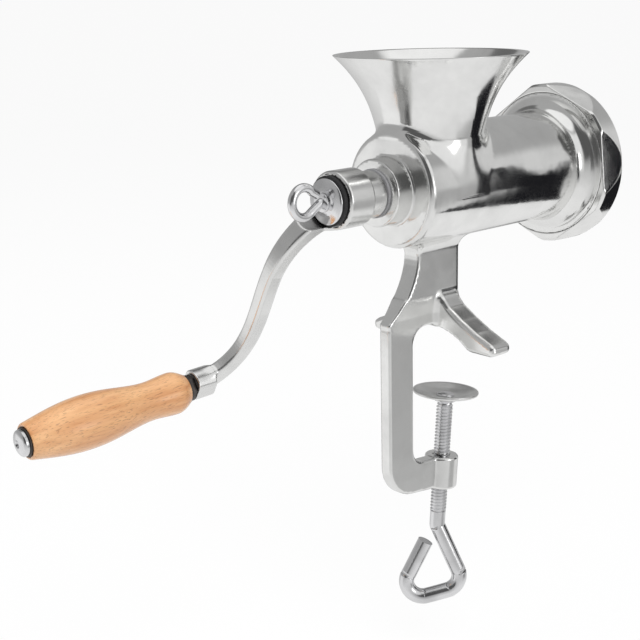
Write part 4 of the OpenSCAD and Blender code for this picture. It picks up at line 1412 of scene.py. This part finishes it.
def surround():
    """The round studio that only reflections see."""
    turns, rises, away = 144, 72, 3.0
    points, greys = [], []
    for i in range(rises + 1):
        for k in range(turns):
            azimuth, elevation = 360 * k / turns - 180, 180 * i / rises - 90
            points.append(CENTRE + toward(azimuth, elevation) * away)
            greys.append(studio(azimuth, elevation))
    shade = {"attribute_name": "studio"}
    material = glow("studio surround", lambda tree: tree.node("ShaderNodeAttribute", **shade))
    dome = sheet("surround", points, wrapped(rises + 1, turns), material)
    paint = dome.data.attributes.new("studio", "FLOAT_COLOR", "POINT")
    for item, grey in zip(paint.data, greys):
        item.color = (grey, grey, grey, 1.0)


def near_cards():
    """The dark cards by the outlet."""
    dark = glow("dark card", lambda tree: (0.012, 0.012, 0.014, 1.0))
    for name, (at, azimuth, away, edge) in CARDS.items():
        ahead = toward(azimuth, 0)
        across = Vector((ahead.y, -ahead.x, 0))
        foot = Vector((*at, AXIS_H)) + ahead * away
        corners = [(foot + across * u + Vector((0, 0, v))) * MM for u, v in edge]
        sheet(name, corners, [range(len(corners))], dark)


def lamps():
    """The soft lamps, which mirrors don't show."""
    for name, (azimuth, elevation, size, power) in LAMPS.items():
        data = bpy.data.lights.new(name, "AREA")
        data.size, data.energy, data.shape = size, power, "SQUARE"
        lamp = linked(name, data)
        out = toward(azimuth, elevation)
        lamp.location = CENTRE + out * LAMP_AWAY
        lamp.rotation_mode = "QUATERNION"
        lamp.rotation_quaternion = out.to_track_quat("Z", "Y")
        lamp.visible_glossy = False


def camera():
    """The camera, turned by CAMERA_TURN."""
    data = bpy.data.cameras.new("camera")
    data.lens, data.sensor_width = LENS, 36.0
    data.clip_start, data.clip_end = 0.01, 200
    a, e, roll = (math.radians(angle) for angle in CAMERA_TURN)
    look = Vector((math.sin(a) * math.cos(e), math.cos(a) * math.cos(e), -math.sin(e)))
    right = Vector((math.cos(a), -math.sin(a), 0))
    up = right.cross(look)
    r = math.cos(roll) * right + math.sin(roll) * up
    u = -math.sin(roll) * right + math.cos(roll) * up
    turn = Matrix((r, u, -look)).transposed().to_4x4()
    made = linked("camera", data)
    made.matrix_world = Matrix.Translation(CAMERA_AT) @ turn
    return made


class GRINDER_OT_stage(Operator):
    """Set the floor, the world, the lamps, the mirrored studio and the camera"""

    bl_idname = "grinder.stage"
    bl_label = "Stage"

    def execute(self, context):
        low, far = CAD_BOX[0][2] - SCREW_DROP * MM, FLOOR_REACH
        corners = [(-far, -far, low), (far, -far, low), (far, far, low), (-far, far, low)]
        floor = material_of("pale floor", pale_floor)
        sheet("floor", corners, [range(4)], floor, mirrored=False)
        context.scene.world = white_world()
        lamps()
        surround()
        near_cards()
        context.scene.camera = camera()
        context.scene.view_settings.view_transform = "Standard"
        return {"FINISHED"}


class VIEW3D_PT_grinder(Panel):
    """Lists the grinder's pieces in the sidebar"""

    bl_label = "Grinder"
    bl_idname = "VIEW3D_PT_grinder"
    bl_space_type = "VIEW_3D"
    bl_region_type = "UI"
    bl_category = "Grinder"

    def draw(self, context):
        for group in (context.scene.grinder_sizes, context.scene.grinder_look):
            for name in group.bl_rna.properties.keys():
                if name not in ("rna_type", "name"):
                    self.layout.prop(group, name)
        for operator in OPERATORS:
            self.layout.operator(operator.bl_idname)


OPERATORS = (
    GRINDER_OT_finishes, GRINDER_OT_body, GRINDER_OT_outlet, GRINDER_OT_drive, GRINDER_OT_crank,
    GRINDER_OT_eye_bolt, GRINDER_OT_grip, GRINDER_OT_clamp, GRINDER_OT_stage,
)
CLASSES = (GrinderSizes, GrinderLook, *OPERATORS, VIEW3D_PT_grinder)


def register():
    for cls in CLASSES:
        bpy.utils.register_class(cls)
    bpy.types.Scene.grinder_sizes = PointerProperty(type=GrinderSizes)
    bpy.types.Scene.grinder_look = PointerProperty(type=GrinderLook)


def unregister():
    del bpy.types.Scene.grinder_look
    del bpy.types.Scene.grinder_sizes
    for cls in reversed(CLASSES):
        bpy.utils.unregister_class(cls)


def main():
    register()
    for operator in OPERATORS:
        group, name = operator.bl_idname.split(".")
        getattr(getattr(bpy.ops, group), name)()


if __name__ == "__main__":
    main()
